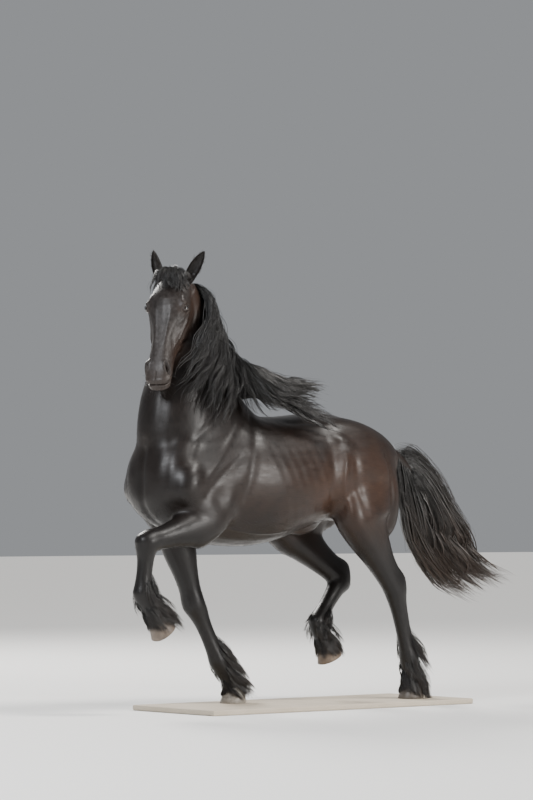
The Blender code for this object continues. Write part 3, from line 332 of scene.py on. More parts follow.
# The stage: the photo's camera, and soft lights as sideways, towards the camera and up from the middle,
# then width in metres, or the key's angle in radians, and power and colour.
FLOOR_SIZE = 120.0
STUDIO_LIGHT = 0.34
PHOTO_CENTRE = (0.0, -0.15, 0.03)
PHOTO_BACK = (0.766, -0.643, 0.0)
CAMERA_LENS = 148.2
CAMERA_DISTANCE = 18.0
CAMERA_HEIGHT = 1.0
CAMERA_AIM = (-0.065, -0.077, 1.65)
LIGHT_AIM = 1.3
LIGHTS = (
    ("key", 5.0, 1.5, 7.5, 0.30, 2.9, (1.0, 0.97, 0.93)),
    ("fill", -5.5, 8.5, 6.5, 3.2, 1000.0, (0.93, 0.96, 1.0)),
    ("side", 8.0, 5.0, 3.0, 3.0, 700.0, (1.0, 0.98, 0.95)),
    ("rim", -4.0, -7.0, 7.0, 4.0, 1200.0, (1.0, 0.98, 0.95)),
)

# The skin lies inside the solids by the depth of the short coat.
COAT_DEPTH = 0.0025

# The skin's voxels, the rounds of smoothing of its parts, and where the trunk's own smoothing ends.
VOXEL = 0.0076
TRUNK_SMOOTHING = 66
SMOOTHING = 17
HEAD_SMOOTHING = 8
FACE_SMOOTHING = 4
LAST_SMOOTHING = 4
DETAIL_SMOOTHING_SHARE = 0.5
SHARE_STEPS = 20
LEG_TOP = 0.88
HEAD_BOTTOM = 1.85
TRUNK_BLEND = 0.15

# The lofts: sides of a ring, the thinnest rib, the neck's widest place, how square the head is, and how far
# a muscle reaches past its ends, as a share of its radius across.
RING_SIDES = 28
THINNEST_RIB = 0.002
NECK_WIDEST = 0.60
HEAD_FULLNESS = 2.5
MUSCLE_OVERHANG = 0.6

# Where the head takes over from the neck: back, down and aside in its own frame, up over the stand.
HEAD_BACK = -0.16
HEAD_LOW = 0.30
HEAD_SIDE = 0.17
HEAD_UP = 1.60
HEAD_BLEND = 0.05
HEAD_EDGE_BLEND = 0.02

# Where the skin is finest: from here down the face, and this near to an eye.
MUZZLE_START = 0.47
EYE_DETAIL_RADIUS = 0.055

# Brown tone with painted sheen on the flank and behind the shoulder: middle and reach forward, middle and
# reach up, strength.
BROWN_AND_SHEEN_PATCHES = ((-0.10, 0.42, 1.16, 0.26, 0.95), (0.60, 0.30, 1.10, 0.25, 0.25))
# Shares of brown, of pale coat (dust, and painted sheen on the face) and of bare skin elsewhere.
TRUNK_BROWN = 0.10
FACE_BROWN = 0.12
CHEEK_BROWN = 0.40
EYE_SIDE_BROWN = 0.75
EYE_SIDE_REACH = 0.055
# On the face the pale share is painted sheen as well as dust: lightest on the front plane and down the nose,
# less on the cheeks.
FACE_DUST_AND_SHEEN = 0.30
MUZZLE_DUST_AND_SHEEN = 0.20
CHEEK_LESS_DUST_AND_SHEEN = 0.20
LEG_DUST = 0.10
MUZZLE_BARE = 0.80
LID_BARE = 0.35
EYE_BARE_REACH = 0.026
# The jaw's edge in the head's frame: its place at the back, and how far it comes up towards the muzzle.
JAW_BACK = -0.24
JAW_RISE = 0.09
JAW_BLEND = 0.03

# Reliefs on the skin: height, half width, then points (forward, left, up). Each is made on both sides.
BODY_RELIEFS = (
    ("breast_groove", -0.007, 0.024,
     ((1.15, 0.0, 1.4), (1.17, 0.0, 1.28), (1.13, 0.0, 1.13), (1.08, 0.0, 1.02), (0.98, 0.0, 0.94))),
    ("breast_side", -0.0035, 0.026,
     ((1.06, 0.17, 1.47), (1.09, 0.165, 1.33), (1.08, 0.15, 1.18), (1.06, 0.13, 1.08))),
    ("jugular", -0.0035, 0.028,
     ((1.11, 0.11, 1.45), (1.1, 0.125, 1.6), (1.04, 0.13, 1.78), (0.98, 0.12, 1.92))),
    ("neck_muscle", 0.004, 0.045,
     ((0.64, 0.15, 1.56), (0.72, 0.15, 1.74), (0.78, 0.12, 1.92), (0.84, 0.12, 2.06))),
    ("shoulder_front", -0.005, 0.024,
     ((0.56, 0.12, 1.64), (0.76, 0.19, 1.54), (0.93, 0.235, 1.43), (1.01, 0.26, 1.3))),
    ("shoulder_spine", 0.003, 0.018,
     ((0.56, 0.13, 1.6), (0.7, 0.215, 1.44), (0.83, 0.255, 1.3), (0.93, 0.28, 1.19))),
    ("shoulder_back", -0.006, 0.03,
     ((0.5, 0.17, 1.58), (0.555, 0.27, 1.44), (0.6, 0.295, 1.3), (0.64, 0.29, 1.16), (0.69, 0.28, 1.06))),
    ("triceps_top", -0.004, 0.022,
     ((0.64, 0.28, 1.35), (0.76, 0.275, 1.26), (0.88, 0.29, 1.16), (0.93, 0.29, 1.08))),
    ("triceps", 0.005, 0.045, ((0.66, 0.29, 1.26), (0.74, 0.3, 1.16), (0.79, 0.29, 1.06))),
    ("flank_fold", 0.007, 0.017,
     ((-0.06, 0.27, 1.34), (-0.04, 0.29, 1.21), (-0.06, 0.28, 1.1), (-0.1, 0.25, 1.01))),
    ("flank_hollow", -0.01, 0.04,
     ((0.02, 0.25, 1.42), (0.03, 0.29, 1.29), (0.03, 0.285, 1.15), (-0.01, 0.25, 1.02))),
    ("thigh_front", -0.006, 0.024, ((-0.12, 0.24, 1.34), (-0.14, 0.28, 1.18), (-0.18, 0.285, 1.04))),
    ("thigh_groove", -0.007, 0.018,
     ((-0.36, 0.2, 1.38), (-0.42, 0.24, 1.2), (-0.42, 0.24, 1.04), (-0.4, 0.21, 0.9))),
    ("haunch_groove", -0.006, 0.014, ((-0.47, 0.13, 1.33), (-0.52, 0.16, 1.18), (-0.52, 0.17, 1.02))),
    ("croup_groove", -0.007, 0.026, ((-0.12, 0.0, 1.59), (-0.3, 0.0, 1.55), (-0.45, 0.0, 1.47))),
    ("loin_side", -0.005, 0.03, ((0.3, 0.14, 1.54), (0.1, 0.15, 1.54), (-0.08, 0.16, 1.54))),
    ("hip_point", 0.01, 0.03, ((-0.06, 0.25, 1.43), (-0.1, 0.25, 1.4))),
    ("belly_vein", 0.003, 0.006,
     ((0.78, 0.19, 0.96), (0.62, 0.2, 0.915), (0.44, 0.2, 0.895), (0.26, 0.18, 0.92))),
    ("buttock_split", -0.014, 0.02,
     ((-0.58, 0.0, 1.33), (-0.59, 0.0, 1.2), (-0.57, 0.0, 1.05), (-0.5, 0.0, 0.96))),
)
# The ribs of the chest: the first one's place, their reach forward, their lean, and their line, left and up.
RIB_COUNT = 7
RIB_HEIGHT = 0.0012
RIB_HALF_WIDTH = 0.020
RIB_START = 0.10
RIB_REACH = 0.40
RIB_LEAN = 0.06
RIB_LINE = ((0.27, 1.38), (0.31, 1.24), (0.30, 1.10), (0.24, 0.98))

# How a relief is laid: points to a span, and how strong it starts at its ends, where it fades.
RELIEF_STEPS = 5
RELIEF_END = 0.35
RELIEF_REACH = 3

# Reliefs on the head, in its frame: left, down the face, out of the face.
HEAD_RELIEFS = (
    ("crest", 0.0085, 0.0125, ((0.11, 0.222, -0.06), (0.096, 0.29, -0.062), (0.08, 0.37, -0.058))),
    ("under_crest", -0.007, 0.014, ((0.11, 0.24, -0.09), (0.094, 0.31, -0.09), (0.078, 0.38, -0.085))),
    ("nose_side", -0.008, 0.022, ((0.082, 0.26, -0.01), (0.07, 0.33, -0.014), (0.06, 0.41, -0.018))),
    ("nose_ridge", 0.003, 0.013, ((0.048, 0.2, 0.04), (0.04, 0.3, 0.028), (0.032, 0.42, 0.014))),
    ("forehead", 0.006, 0.04, ((0.01, 0.13, 0.05), (0.01, 0.19, 0.048))),
    ("face_vein", 0.003, 0.0045,
     ((0.098, 0.245, -0.03), (0.082, 0.3, -0.014), (0.068, 0.37, -0.012), (0.06, 0.43, -0.022))),
    ("branch_vein", 0.0024, 0.004, ((0.092, 0.32, -0.05), (0.082, 0.365, -0.044), (0.072, 0.41, -0.046))),
    ("jaw_vein", 0.0026, 0.0042, ((0.104, 0.25, -0.11), (0.098, 0.27, -0.15), (0.086, 0.29, -0.18))),
    ("jaw_edge", -0.008, 0.012, ((0.09, 0.33, -0.15), (0.078, 0.37, -0.12), (0.07, 0.43, -0.1))),
    ("nostril_rim", 0.0075, 0.008,
     ((0.046, 0.508, 0.006), (0.064, 0.514, -0.006), (0.076, 0.532, -0.024), (0.078, 0.556, -0.04),
      (0.07, 0.576, -0.046))),
    ("nostril_inner_rim", 0.004, 0.006,
     ((0.044, 0.512, 0.004), (0.047, 0.54, -0.004), (0.056, 0.566, -0.026))),
    ("nostril", -0.024, 0.0095,
     ((0.055, 0.522, -0.002), (0.062, 0.534, -0.01), (0.067, 0.55, -0.022), (0.066, 0.563, -0.034))),
    ("nostril_corner", -0.006, 0.0045, ((0.048, 0.512, 0.004), (0.055, 0.522, -0.002))),
    ("muzzle_side", -0.004, 0.012, ((0.06, 0.49, -0.07), (0.066, 0.52, -0.075))),
    ("mouth", -0.011, 0.0036,
     ((0.066, 0.54, -0.096), (0.064, 0.572, -0.084), (0.052, 0.6, -0.064), (0.03, 0.618, -0.048),
      (0.0, 0.624, -0.042))),
    ("upper_lip", 0.0036, 0.008,
     ((0.062, 0.56, -0.074), (0.05, 0.586, -0.052), (0.028, 0.602, -0.034), (0.0, 0.607, -0.028))),
    ("lower_lip", 0.0046, 0.008,
     ((0.06, 0.584, -0.104), (0.05, 0.616, -0.086), (0.028, 0.634, -0.07), (0.0, 0.64, -0.064))),
    ("chin_fold", -0.004, 0.006, ((0.046, 0.57, -0.118), (0.03, 0.602, -0.118), (0.0, 0.612, -0.118))),
    ("lip_split", -0.0014, 0.005, ((0.0, 0.61, -0.03), (0.0, 0.59, -0.008), (0.0, 0.57, 0.002))),
    ("mouth_wrinkle", -0.0022, 0.003,
     ((0.068, 0.528, -0.1), (0.07, 0.516, -0.088), (0.068, 0.506, -0.076))),
    ("lip_wrinkle", -0.0016, 0.0026, ((0.066, 0.556, -0.08), (0.067, 0.55, -0.066), (0.066, 0.54, -0.056))),
)

# Reliefs round each eye, in its own axes: towards the muzzle, and up.
EYE_RELIEFS = (
    ("hollow", -0.009, 0.018, ((-0.04, 0.034), (-0.022, 0.046))),
    ("brow", 0.006, 0.01, ((-0.036, 0.016), (-0.02, 0.027), (0.002, 0.031), (0.024, 0.024))),
    ("brow_fold", -0.0022, 0.0034, ((-0.024, 0.016), (-0.006, 0.0215), (0.014, 0.019))),
    ("under_fold", -0.0026, 0.0046, ((-0.022, -0.022), (0.0, -0.028), (0.024, -0.024))),
    ("tear_line", -0.0022, 0.004, ((0.026, -0.006), (0.042, -0.014), (0.06, -0.018))),
)
EYE_RELIEF_OUT = 0.020


def place(forward, left, up):
    """A point of the horse in the frame."""
    return Vector((left, -forward, up + BASE_TOP))


def points_of(places):
    """Arrays of the frame's points for places of the horse."""
    return [np.array(place(*p)) for p in places]


def direction(forward, up):
    """A way in the horse's middle plane, as an array."""
    return np.array(place(forward, 0, up)) - np.array(place(0, 0, 0))


def moved(points, axes):
    """An array of points taken through a 4x4 matrix."""
    axes = np.array(axes)
    return points @ axes[:3, :3].T + axes[:3, 3]


def rise(values, start, span):
    """0 up to the start, 1 from a span past it, and straight between."""
    return np.clip((values - start) / span, 0, 1)


def catmull(values, steps):
    """Points on a smooth curve through the rows of values, steps to a span."""
    rows = np.asarray(values, float)
    padded = np.vstack((2 * rows[0] - rows[1], rows, 2 * rows[-1] - rows[-2]))
    made = []
    for i in range(1, len(rows)):
        a, b, c, d = padded[i - 1:i + 3]
        for t in np.arange(steps) / steps:
            made.append(0.5 * (2 * b + (c - a) * t + (2 * a - 5 * b + 4 * c - d) * t**2
                               + (3 * b - 3 * c + d - a) * t**3))
    made.append(rows[-1])
    return np.array(made)


def skin_rings(bm, rings, capped=True):
    """A skin over rings of points, each ring with the same number of points."""
    rows = [[bm.verts.new(p) for p in ring] for ring in rings]
    count = len(rows[0])
    for low, high in zip(rows, rows[1:]):
        for i in range(count):
            j = (i + 1) % count
            bm.faces.new((low[i], low[j], high[j], high[i]))
    if capped:
        bm.faces.new(rows[0][::-1])
        bm.faces.new(rows[-1])


def outward_mesh(bm, name):
    """The mesh of a bmesh, its faces turned outwards."""
    bmesh.ops.recalc_face_normals(bm, faces=bm.faces)
    mesh = bpy.data.meshes.new(name)
    bm.to_mesh(mesh)
    bm.free()
    return mesh


def rib_ring(front, back, side, half_width, widest, fullness):
    """A ring through the outline points front and back; a fullness above 2 makes it squarer."""
    centre = front.lerp(back, widest)
    ring = []
    for i in range(RING_SIDES):
        turn = 2 * math.pi * i / RING_SIDES
        reach = (front if math.sin(turn) > 0 else back) - centre
        across = math.copysign(abs(math.cos(turn)) ** (2 / fullness), math.cos(turn))
        ring.append(centre + side * (half_width * across) + reach * abs(math.sin(turn)) ** (2 / fullness))
    return ring


def loft(bm, ribs, steps=4, fullness=2.0):
    """ribs: rows of front xyz, back xyz, side xyz, half width and widest share."""
    rings = []
    for row in catmull(ribs, steps):
        front, back, side = Vector(row[0:3]), Vector(row[3:6]), Vector(row[6:9]).normalized()
        rings.append(rib_ring(front, back, side, max(row[9], THINNEST_RIB), row[10], fullness))
    skin_rings(bm, rings)


def torso_ribs():
    left = (1.0, 0.0, 0.0)
    return [(*place(f, 0, top), *place(f, 0, bottom), *left, half, (top - wide) / (top - bottom))
            for f, top, wide, bottom, half in TORSO_RIBS]


def neck_ribs():
    return [(*place(cf, at_left, cu), *place(tf, at_left, tu), 1.0, 0.0, 0.0, half, NECK_WIDEST)
            for cf, cu, tf, tu, at_left, half in NECK_RIBS]


def head_frame():
    """Head axes as a matrix: x to its left, y down the face from the poll, z out of the face."""
    yaw, pitch = math.radians(HEAD_YAW_DEG), math.radians(HEAD_PITCH_DEG)
    ahead = Vector((math.sin(yaw), -math.cos(yaw), 0.0))
    left = Vector((math.cos(yaw), math.sin(yaw), 0.0))
    down = ahead * math.sin(pitch) + Vector((0, 0, -math.cos(pitch)))
    out = ahead * math.cos(pitch) + Vector((0, 0, math.sin(pitch)))
    return Matrix.Translation(place(*POLL)) @ Matrix((left, down, out)).transposed().to_4x4()


def head_ribs():
    axes = head_frame()
    left = axes.to_3x3() @ Vector((1, 0, 0))
    rows = []
    for along, face, wide, jaw, half in HEAD_RIBS:
        front, back = axes @ Vector((0, along, face)), axes @ Vector((0, along, jaw))
        rows.append((*front, *back, *left, half, (face - wide) / (face - jaw)))
    return rows


def leg_ribs(joints, profile):
    """Ribs square to the leg's path, from a bone's own radii."""
    points = [place(*j) for j in joints]
    centres = [points[bone].lerp(points[bone + 1], along) for bone, along, *_ in profile]
    side = Vector((1, 0, 0))
    rows = []
    for i, (centre, (_, _, fore, aft, half)) in enumerate(zip(centres, profile)):
        path = centres[min(i + 1, len(centres) - 1)] - centres[max(i - 1, 0)]
        forward = path.cross(side).normalized()
        rows.append((*(centre + forward * fore), *(centre - forward * aft), *side, half,
                     fore / (fore + aft)))
    return rows


def dock_ribs():
    rows = []
    for i, (f, u, radius) in enumerate(DOCK):
        before, after = DOCK[max(i - 1, 0)], DOCK[min(i + 1, len(DOCK) - 1)]
        path = (place(after[0], 0, after[1]) - place(before[0], 0, before[1])).normalized()
        up = Vector((1, 0, 0)).cross(path)
        centre = place(f, 0, u)
        rows.append((*(centre + up * radius), *(centre - up * radius), 1.0, 0.0, 0.0, radius, 0.5))
    return rows


def muscle(bm, start, end, outwards, across):
    """A stretched ball from start to end, flat across the body."""
    axis = end - start
    side = Vector((1, 0, 0))
    side = (side - axis * side.dot(axis) / axis.length_squared).normalized()
    third = axis.cross(side).normalized()
    turn = Matrix((side, third, axis.normalized())).transposed().to_4x4()
    size = Matrix.Diagonal((outwards, across, axis.length / 2 + across * MUSCLE_OVERHANG, 1.0))
    bmesh.ops.create_icosphere(bm, subdivisions=3, radius=1.0,
                               matrix=Matrix.Translation((start + end) / 2) @ turn @ size)


def mirrored(point, hand):
    return Vector((point[0] * hand, point[1], point[2]))


def object_of(name, mesh, finish):
    obj = bpy.data.objects.new(name, mesh)
    bpy.context.scene.collection.objects.link(obj)
    mesh.materials.clear()
    mesh.materials.append(finish)
    mesh.shade_smooth()
    return obj


def applied(obj):
    """The object with its modifiers applied."""
    graph = bpy.context.evaluated_depsgraph_get()
    mesh = bpy.data.meshes.new_from_object(obj.evaluated_get(graph))
    obj.modifiers.clear()
    old = obj.data
    obj.data = mesh
    bpy.data.meshes.remove(old)
    return obj


def settled(piece, slot, *nodes):
    """A finished piece of the horse: it rides on the one body and stands for the nodes."""
    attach(piece, "root")
    if nodes:
        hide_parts(*nodes)
    return piece


def rows_of(values, attribute):
    flat = np.empty(len(values) * 3, np.float32)
    values.foreach_get(attribute, flat)
    return flat.reshape(-1, 3).astype(float)


def positions(mesh):
    return rows_of(mesh.vertices, "co")


def set_positions(mesh, points):
    mesh.vertices.foreach_set("co", points.astype(np.float32).ravel())
    mesh.update()


def normals_of(mesh):
    return rows_of(mesh.vertex_normals, "vector")


def tree_of(*objects):
    """A tree for finding the nearest surface point of several objects."""
    points, faces = [], []
    for obj in objects:
        start = len(points)
        points += [obj.matrix_world @ v.co for v in obj.data.vertices]
        faces += [[start + i for i in f.vertices] for f in obj.data.polygons]
    return BVHTree.FromPolygons(points, faces)


def in_head(points):
    """Points in the head's own frame."""
    return moved(points, head_frame().inverted())


def head_share(points):
    """1 on the head and 0 on the neck, blended between."""
    local = in_head(points)
    front = (local[:, 2] - HEAD_BACK) / HEAD_BLEND
    low = (local[:, 1] - HEAD_LOW) / HEAD_BLEND
    near = (HEAD_SIDE - np.abs(local[:, 0])) / HEAD_EDGE_BLEND
    up = (points[:, 2] - BASE_TOP - HEAD_UP) / HEAD_EDGE_BLEND
    return np.clip(np.minimum(np.minimum(np.maximum(front, low), near), up), 0.0, 1.0)


def smooth_by_share(body, rounds, share):
    """Smooth the body as often as told, as far as each vertex's share says."""
    group = body.vertex_groups.new(name="share")
    steps = np.round(share * SHARE_STEPS).astype(int)
    for step in np.unique(steps):
        if step:
            group.add(np.flatnonzero(steps == step).tolist(), step / SHARE_STEPS, "REPLACE")
    smooth = body.modifiers.new("Smooth", "SMOOTH")
    smooth.factor = 0.5
    smooth.iterations = rounds
    smooth.vertex_group = group.name
    applied(body)
    body.vertex_groups.clear()


def raw_body(voxel, finish):
    """Every loft and muscle fused to one closed surface."""
    bm = bmesh.new()
    loft(bm, torso_ribs())
    loft(bm, neck_ribs())
    loft(bm, head_ribs(), fullness=HEAD_FULLNESS)
    for _, start, end, outwards, across in HEAD_FORMS:
        for hand in (1, -1):
            ends = [head_frame() @ mirrored(point, hand) for point in (start, end)]
            muscle(bm, *ends, outwards, across)
    loft(bm, dock_ribs())
    for joints in FORE_JOINTS.values():
        loft(bm, leg_ribs(joints, FORE_PROFILE))
    for joints in HIND_JOINTS.values():
        loft(bm, leg_ribs(joints, HIND_PROFILE))
    for _, start, end, outwards, across in MUSCLES:
        for hand in (1, -1):
            muscle(bm, *[place(f, hand * at_left, u) for f, at_left, u in (start, end)], outwards, across)
    for upper, lower in BUTTOCKS:
        muscle(bm, place(*upper), place(*lower), *BUTTOCK_RADII)
    muscle(bm, place(*SHEATH_ENDS[0]), place(*SHEATH_ENDS[1]), *SHEATH_RADII)
    body = object_of("skin", outward_mesh(bm, "skin"), finish)
    remesh = body.modifiers.new("Fuse", "REMESH")
    remesh.mode = "VOXEL"
    remesh.voxel_size = voxel
    return applied(body)


def refined(body, wanted):
    """Halve the faces whose middles the test wants."""
    bm = bmesh.new()
    bm.from_mesh(body.data)
    middles = np.array([f.calc_center_median() for f in bm.faces])
    chosen = wanted(middles)
    edges = {e for f, keep in zip(bm.faces, chosen) if keep for e in f.edges}
    bmesh.ops.subdivide_edges(bm, edges=list(edges), cuts=1, use_grid_fill=True)
    bm.to_mesh(body.data)
    bm.free()


def distance_to_line(points, line):
    """Each point's distance to the nearest piece of a line of points."""
    best = np.full(len(points), 1e9)
    for a, b in zip(line, line[1:]):
        way = b - a
        share = np.clip((points - a) @ way / max(way @ way, 1e-12), 0.0, 1.0)
        gap = points - a - share[:, None] * way
        best = np.minimum(best, np.sqrt((gap * gap).sum(axis=1)))
    return best


def relief(points, normals, tree, height, half_width, line):
    """Raise or sink the surface along a line that is first laid on it."""
    curve = [tree.find_nearest(Vector(p))[0] for p in catmull([tuple(p) for p in line], RELIEF_STEPS)]
    curve = np.array([tuple(p) for p in curve])
    reach = RELIEF_REACH * half_width
    low, high = curve.min(0) - reach, curve.max(0) + reach
    near = np.flatnonzero(((points > low) & (points < high)).all(axis=1))
    gap = distance_to_line(points[near], curve)
    ends = np.minimum(np.linalg.norm(points[near] - curve[0], axis=1),
                      np.linalg.norm(points[near] - curve[-1], axis=1))
    fade = np.clip(RELIEF_END + ends / reach, 0.0, 1.0)
    points[near] += normals[near] * (height * fade * np.exp(-(gap / half_width) ** 2))[:, None]


def detailed_skin(finish):
    """The horse's skin, finest on the muzzle and round the eyes."""
    voxel = VOXEL
    scale = (VOXEL / voxel) ** 2
    body = raw_body(voxel, finish)
    points = positions(body.data)
    head = head_share(points)
    up = points[:, 2] - BASE_TOP
    trunk = np.clip(np.minimum((up - LEG_TOP) / TRUNK_BLEND, (HEAD_BOTTOM - up) / TRUNK_BLEND), 0.0, 1.0)
    smooth_by_share(body, HEAD_SMOOTHING, head)
    smooth_by_share(body, round(SMOOTHING * scale), 1.0 - head)
    smooth_by_share(body, round(TRUNK_SMOOTHING * scale), trunk)
    refined(body, lambda middles: head_share(middles) > 0.5)
    refined(body, on_face_details)
    smooth_by_share(body, FACE_SMOOTHING, head_share(positions(body.data)))
    points, normals = positions(body.data), normals_of(body.data)
    tree = tree_of(body)
    axes = head_frame()
    for _, height, half_width, line in HEAD_RELIEFS:
        for hand in (1, -1):
            relief(points, normals, tree, height, half_width, [axes @ mirrored(p, hand) for p in line])
    for hand in (1, -1):
        centre, axes = eye_axes(hand)
        for _, height, half_width, line in EYE_RELIEFS:
            local = [Vector(centre + np.array((EYE_RELIEF_OUT, along, up)) @ axes) for along, up in line]
            relief(points, normals, tree, height, half_width, local)
    for _, height, half_width, line in BODY_RELIEFS:
        hands = (1,) if all(p[1] == 0.0 for p in line) else (1, -1)
        for hand in hands:
            laid = [place(f, hand * left, u) for f, left, u in line]
            relief(points, normals, tree, height, half_width, laid)
    for i in range(RIB_COUNT):
        forward = RIB_START + RIB_REACH * i / (RIB_COUNT - 1)
        line = [place(forward - RIB_LEAN * k, left, u) for k, (left, u) in enumerate(RIB_LINE)]
        for hand in (1, -1):
            relief(points, normals, tree, RIB_HEIGHT, RIB_HALF_WIDTH, [mirrored(p, hand) for p in line])
    points -= normals * COAT_DEPTH
    set_positions(body.data, points)
    smooth_by_share(body, LAST_SMOOTHING, np.where(on_face_details(points), DETAIL_SMOOTHING_SHARE, 1.0))
    return body


def on_face_details(middles):
    """Whether each middle is on the muzzle or round an eye."""
    local = in_head(middles)
    muzzle = (local[:, 1] > MUZZLE_START) & (head_share(middles) > 0.5)
    eyes = np.zeros(len(middles), bool)
    for name in ("eye_left", "eye_right"):
        low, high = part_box(name)
        eyes |= np.linalg.norm(middles - np.array((low + high) / 2), axis=1) < EYE_DETAIL_RADIUS
    return muzzle | eyes


# The eye in its own axes: x the way it looks, y towards the muzzle, z to the upper lid.
LID_SIDES = 72
# Rings of the lids: scale of the opening, height over the ball, and how far the skin takes over.
LID_RINGS = (
    (0.96, -0.0016, 0.0), (1.00, 0.0003, 0.0), (1.05, 0.0019, 0.0), (1.16, 0.0030, 0.05),
    (1.30, 0.0026, 0.30), (1.42, 0.0008, 0.60), (1.54, 0.0012, 0.85), (1.70, 0.0016, 1.0),
    (1.90, 0.0008, 1.0), (2.10, -0.0030, 1.0),
)
LID_HALF_LENGTH = 0.0205
LID_UPPER = 0.0108
LID_LOWER = 0.0082
EYE_SOCKET = (0.0275, 0.0190, 0.0130)
LID_RINGS_BETWEEN = 3
LID_MARGIN = 1.05
LID_WIDEST_ANGLE = 1.5
LID_REACH = 0.03
BALL_INSET = 0.0004
BALL_TILTS_DEG = (2, 150)
BALL_RINGS = 44
BALL_SIDES = 56
LASH_COUNT = 90
LASH_LENGTH = 0.013
LASH_RADIUS = 0.00035
LASH_SPAN = (0.08, 0.42)
LASH_RISE = 0.18
LASH_DROOP = 0.55
LASH_LEAN = 0.45
LID_ROUNDNESS = 1.25
LID_GROWTH = (0.75, 0.020)
LID_TILT = 0.0021

EAR_RINGS = 28
EAR_POINTS = 20
EAR_HAIRS = 320
EAR_HAIR_RADIUS = 0.0005
EAR_HAIR_REACH = (0.010, 0.024)
# The ear's way out, where its root starts, and shares of its width: how deep it is and how its rim curls in.
EAR_OUT = (0.45, 0.05, 0.90)
EAR_ROOT = -0.14
EAR_DEPTH = 0.75
EAR_CURL = 0.10
EAR_BEND = 0.012
# Where along the ear the cup begins to open, and over what length.
CUP_START = 0.06
CUP_SPAN = 0.22

HOOF_RINGS = (
    (0.0, 0.78), (0.0, 0.93), (0.004, 0.975), (0.04, 1.0), (0.3, 0.935), (0.55, 0.878),
    (0.8, 0.815), (0.92, 0.792), (0.97, 0.8), (1.02, 0.78), (1.06, 0.7),
)
HOOF_POINTS = 64
HOOF_GAP = 0.0004
SOLE_HOLLOW = 0.007
SOLE_INNER = 0.30
SOLE_RIM = 0.9

# Hair: sides of a strand, points along each kind, radius, how deep it roots, and how much a piece holds.
STRAND_SIDES = 3
STRAND_SMOOTHING = 2
LONG_POINTS = 18
FORELOCK_POINTS = 13
FORELOCK_FINENESS = 0.85
FEATHER_POINTS = 8
FINE_POINTS = 6
FINE_ROOT_DEPTH = 0.001
HAIR_RADIUS = 0.00105
HAIR_SEED = 11
ROOT_DEPTH = 0.004
CLEAR_REACH = 0.12
ANY_PHASE = 6.3

# How locks vary, and how they taper and their strands spread, as shares of a lock's own sizes.
LOCK_WAVE_LENGTHS = (0.75, 1.35)
LOCK_WAVE_HEIGHTS = (0.4, 1.3)
LOCK_DRIFT = 1.2
LOCK_TAPER = 0.7
LOCK_BODY = 0.85
LOCK_TIP = 0.12
LOOSE_SPREAD = 1.6
STRAND_SPREAD = 0.55
STRAND_LENGTHS = (0.72, 1.0)
STRAND_CURL = 0.35
STRAND_FLATNESS = 0.8
PIECE_TRIANGLES = 190000
PATCH = 0.0015

# The under layer of the long hair, beside the strands over it: strands to a lock, half width as a share of
# the lock's, flatness, and shares of the lock's own shape.
UNDER_STRANDS = 4
UNDER_WIDTH = 0.34
UNDER_FLATNESS = 0.22
UNDER_SHAPE = {"layer": 0.3, "wave": 0.8, "depth": 0.4}

# The lie of the coat: which way short hair points, forward and up on the trunk, and as x, y, z on the legs.
COAT_FLOW = (-0.85, -0.50)
LEG_FLOW = (0.0, 0.15, -1.0)
LEG_FLOW_TOP = 0.95
FLOW_SPREAD = 0.12
# How thickly the tufts stand, and their lengths beside those of the trunk.
TUFTS_ON_TRUNK = 0.12
TUFTS_ON_BELLY = 2.0
TUFTS_BEHIND = 1.0
TUFTS_UNDER_JAW = 0.5
TUFTLESS_AT_EYE = 0.045
HEAD_TUFT_SHARE = 0.55
BELLY_TUFT_SHARE = 1.5
TUFT_POINTS = 4
TUFT_LENGTH = 0.014
TUFT_RADIUS = 0.0005
TUFT_FLATNESS = 0.6

# The atlas: where each region of the skin lies in the square, as left, bottom, width, height.
ATLAS = {
    "torso": (0.00, 0.50, 0.50, 0.50),
    "neck": (0.50, 0.50, 0.25, 0.50),
    "dock": (0.75, 0.50, 0.25, 0.50),
    "head": (0.00, 0.00, 0.40, 0.50),
    "fore_left": (0.40, 0.00, 0.15, 0.50),
    "fore_right": (0.55, 0.00, 0.15, 0.50),
    "hind_left": (0.70, 0.00, 0.15, 0.50),
    "hind_right": (0.85, 0.00, 0.15, 0.50),
}
REGIONS = tuple(ATLAS)
ATLAS_MARGIN = 0.02
ATLAS_END = 0.01
ATLAS_TURN = 0.90
ATLAS_SEAM = 0.45

# The unwraps: each round part's axis and where its turn starts, and where the others begin and how long
# they are.
ROUND_PARTS = {
    "neck": (((0.62, 0.0, 1.36), (0.95, 0.09, 2.28)), (0.0, -1.0, 0.2)),
    "dock": (((-0.45, 0.0, 1.42), (-0.85, 0.0, 1.20)), (0.0, 0.0, 1.0)),
}
LEG_TURN_START = (0.0, -1.0, 0.1)
HEAD_MIDDLE = -0.10
HEAD_START = -0.12
HEAD_LENGTH = 0.82
TORSO_MIDDLE = 1.20
TORSO_START = -1.20
TORSO_LENGTH = 1.85

# Where the regions meet, forward and up: a slanting plane at the neck, and level or upright ones elsewhere.
NECK_CUT = (0.55, 1.50)
NECK_CUT_WAY = (0.75, 0.66)
NECK_BOTTOM = 1.30
DOCK_CUT = -0.575
LEG_CUT = 0.98
LEG_REACH = 0.17


def legs():
    """Each leg's name and joints."""
    for kind, table in (("fore", FORE_JOINTS), ("hind", HIND_JOINTS)):
        for hand, joints in table.items():
            yield f"{kind}_{hand}", joints


def around(points, start, end, zero):
    """Angle round an axis as 0 to 1, and place along it, of each point."""
    axis = end - start
    length = np.linalg.norm(axis)
    axis = axis / length
    reach = points - start
    along = reach @ axis
    flat = reach - along[:, None] * axis
    first = zero - axis * (zero @ axis)
    first = first / np.linalg.norm(first)
    second = np.cross(axis, first)
    return np.arctan2(flat @ second, flat @ first) / (2 * math.pi) + 0.5, along / length


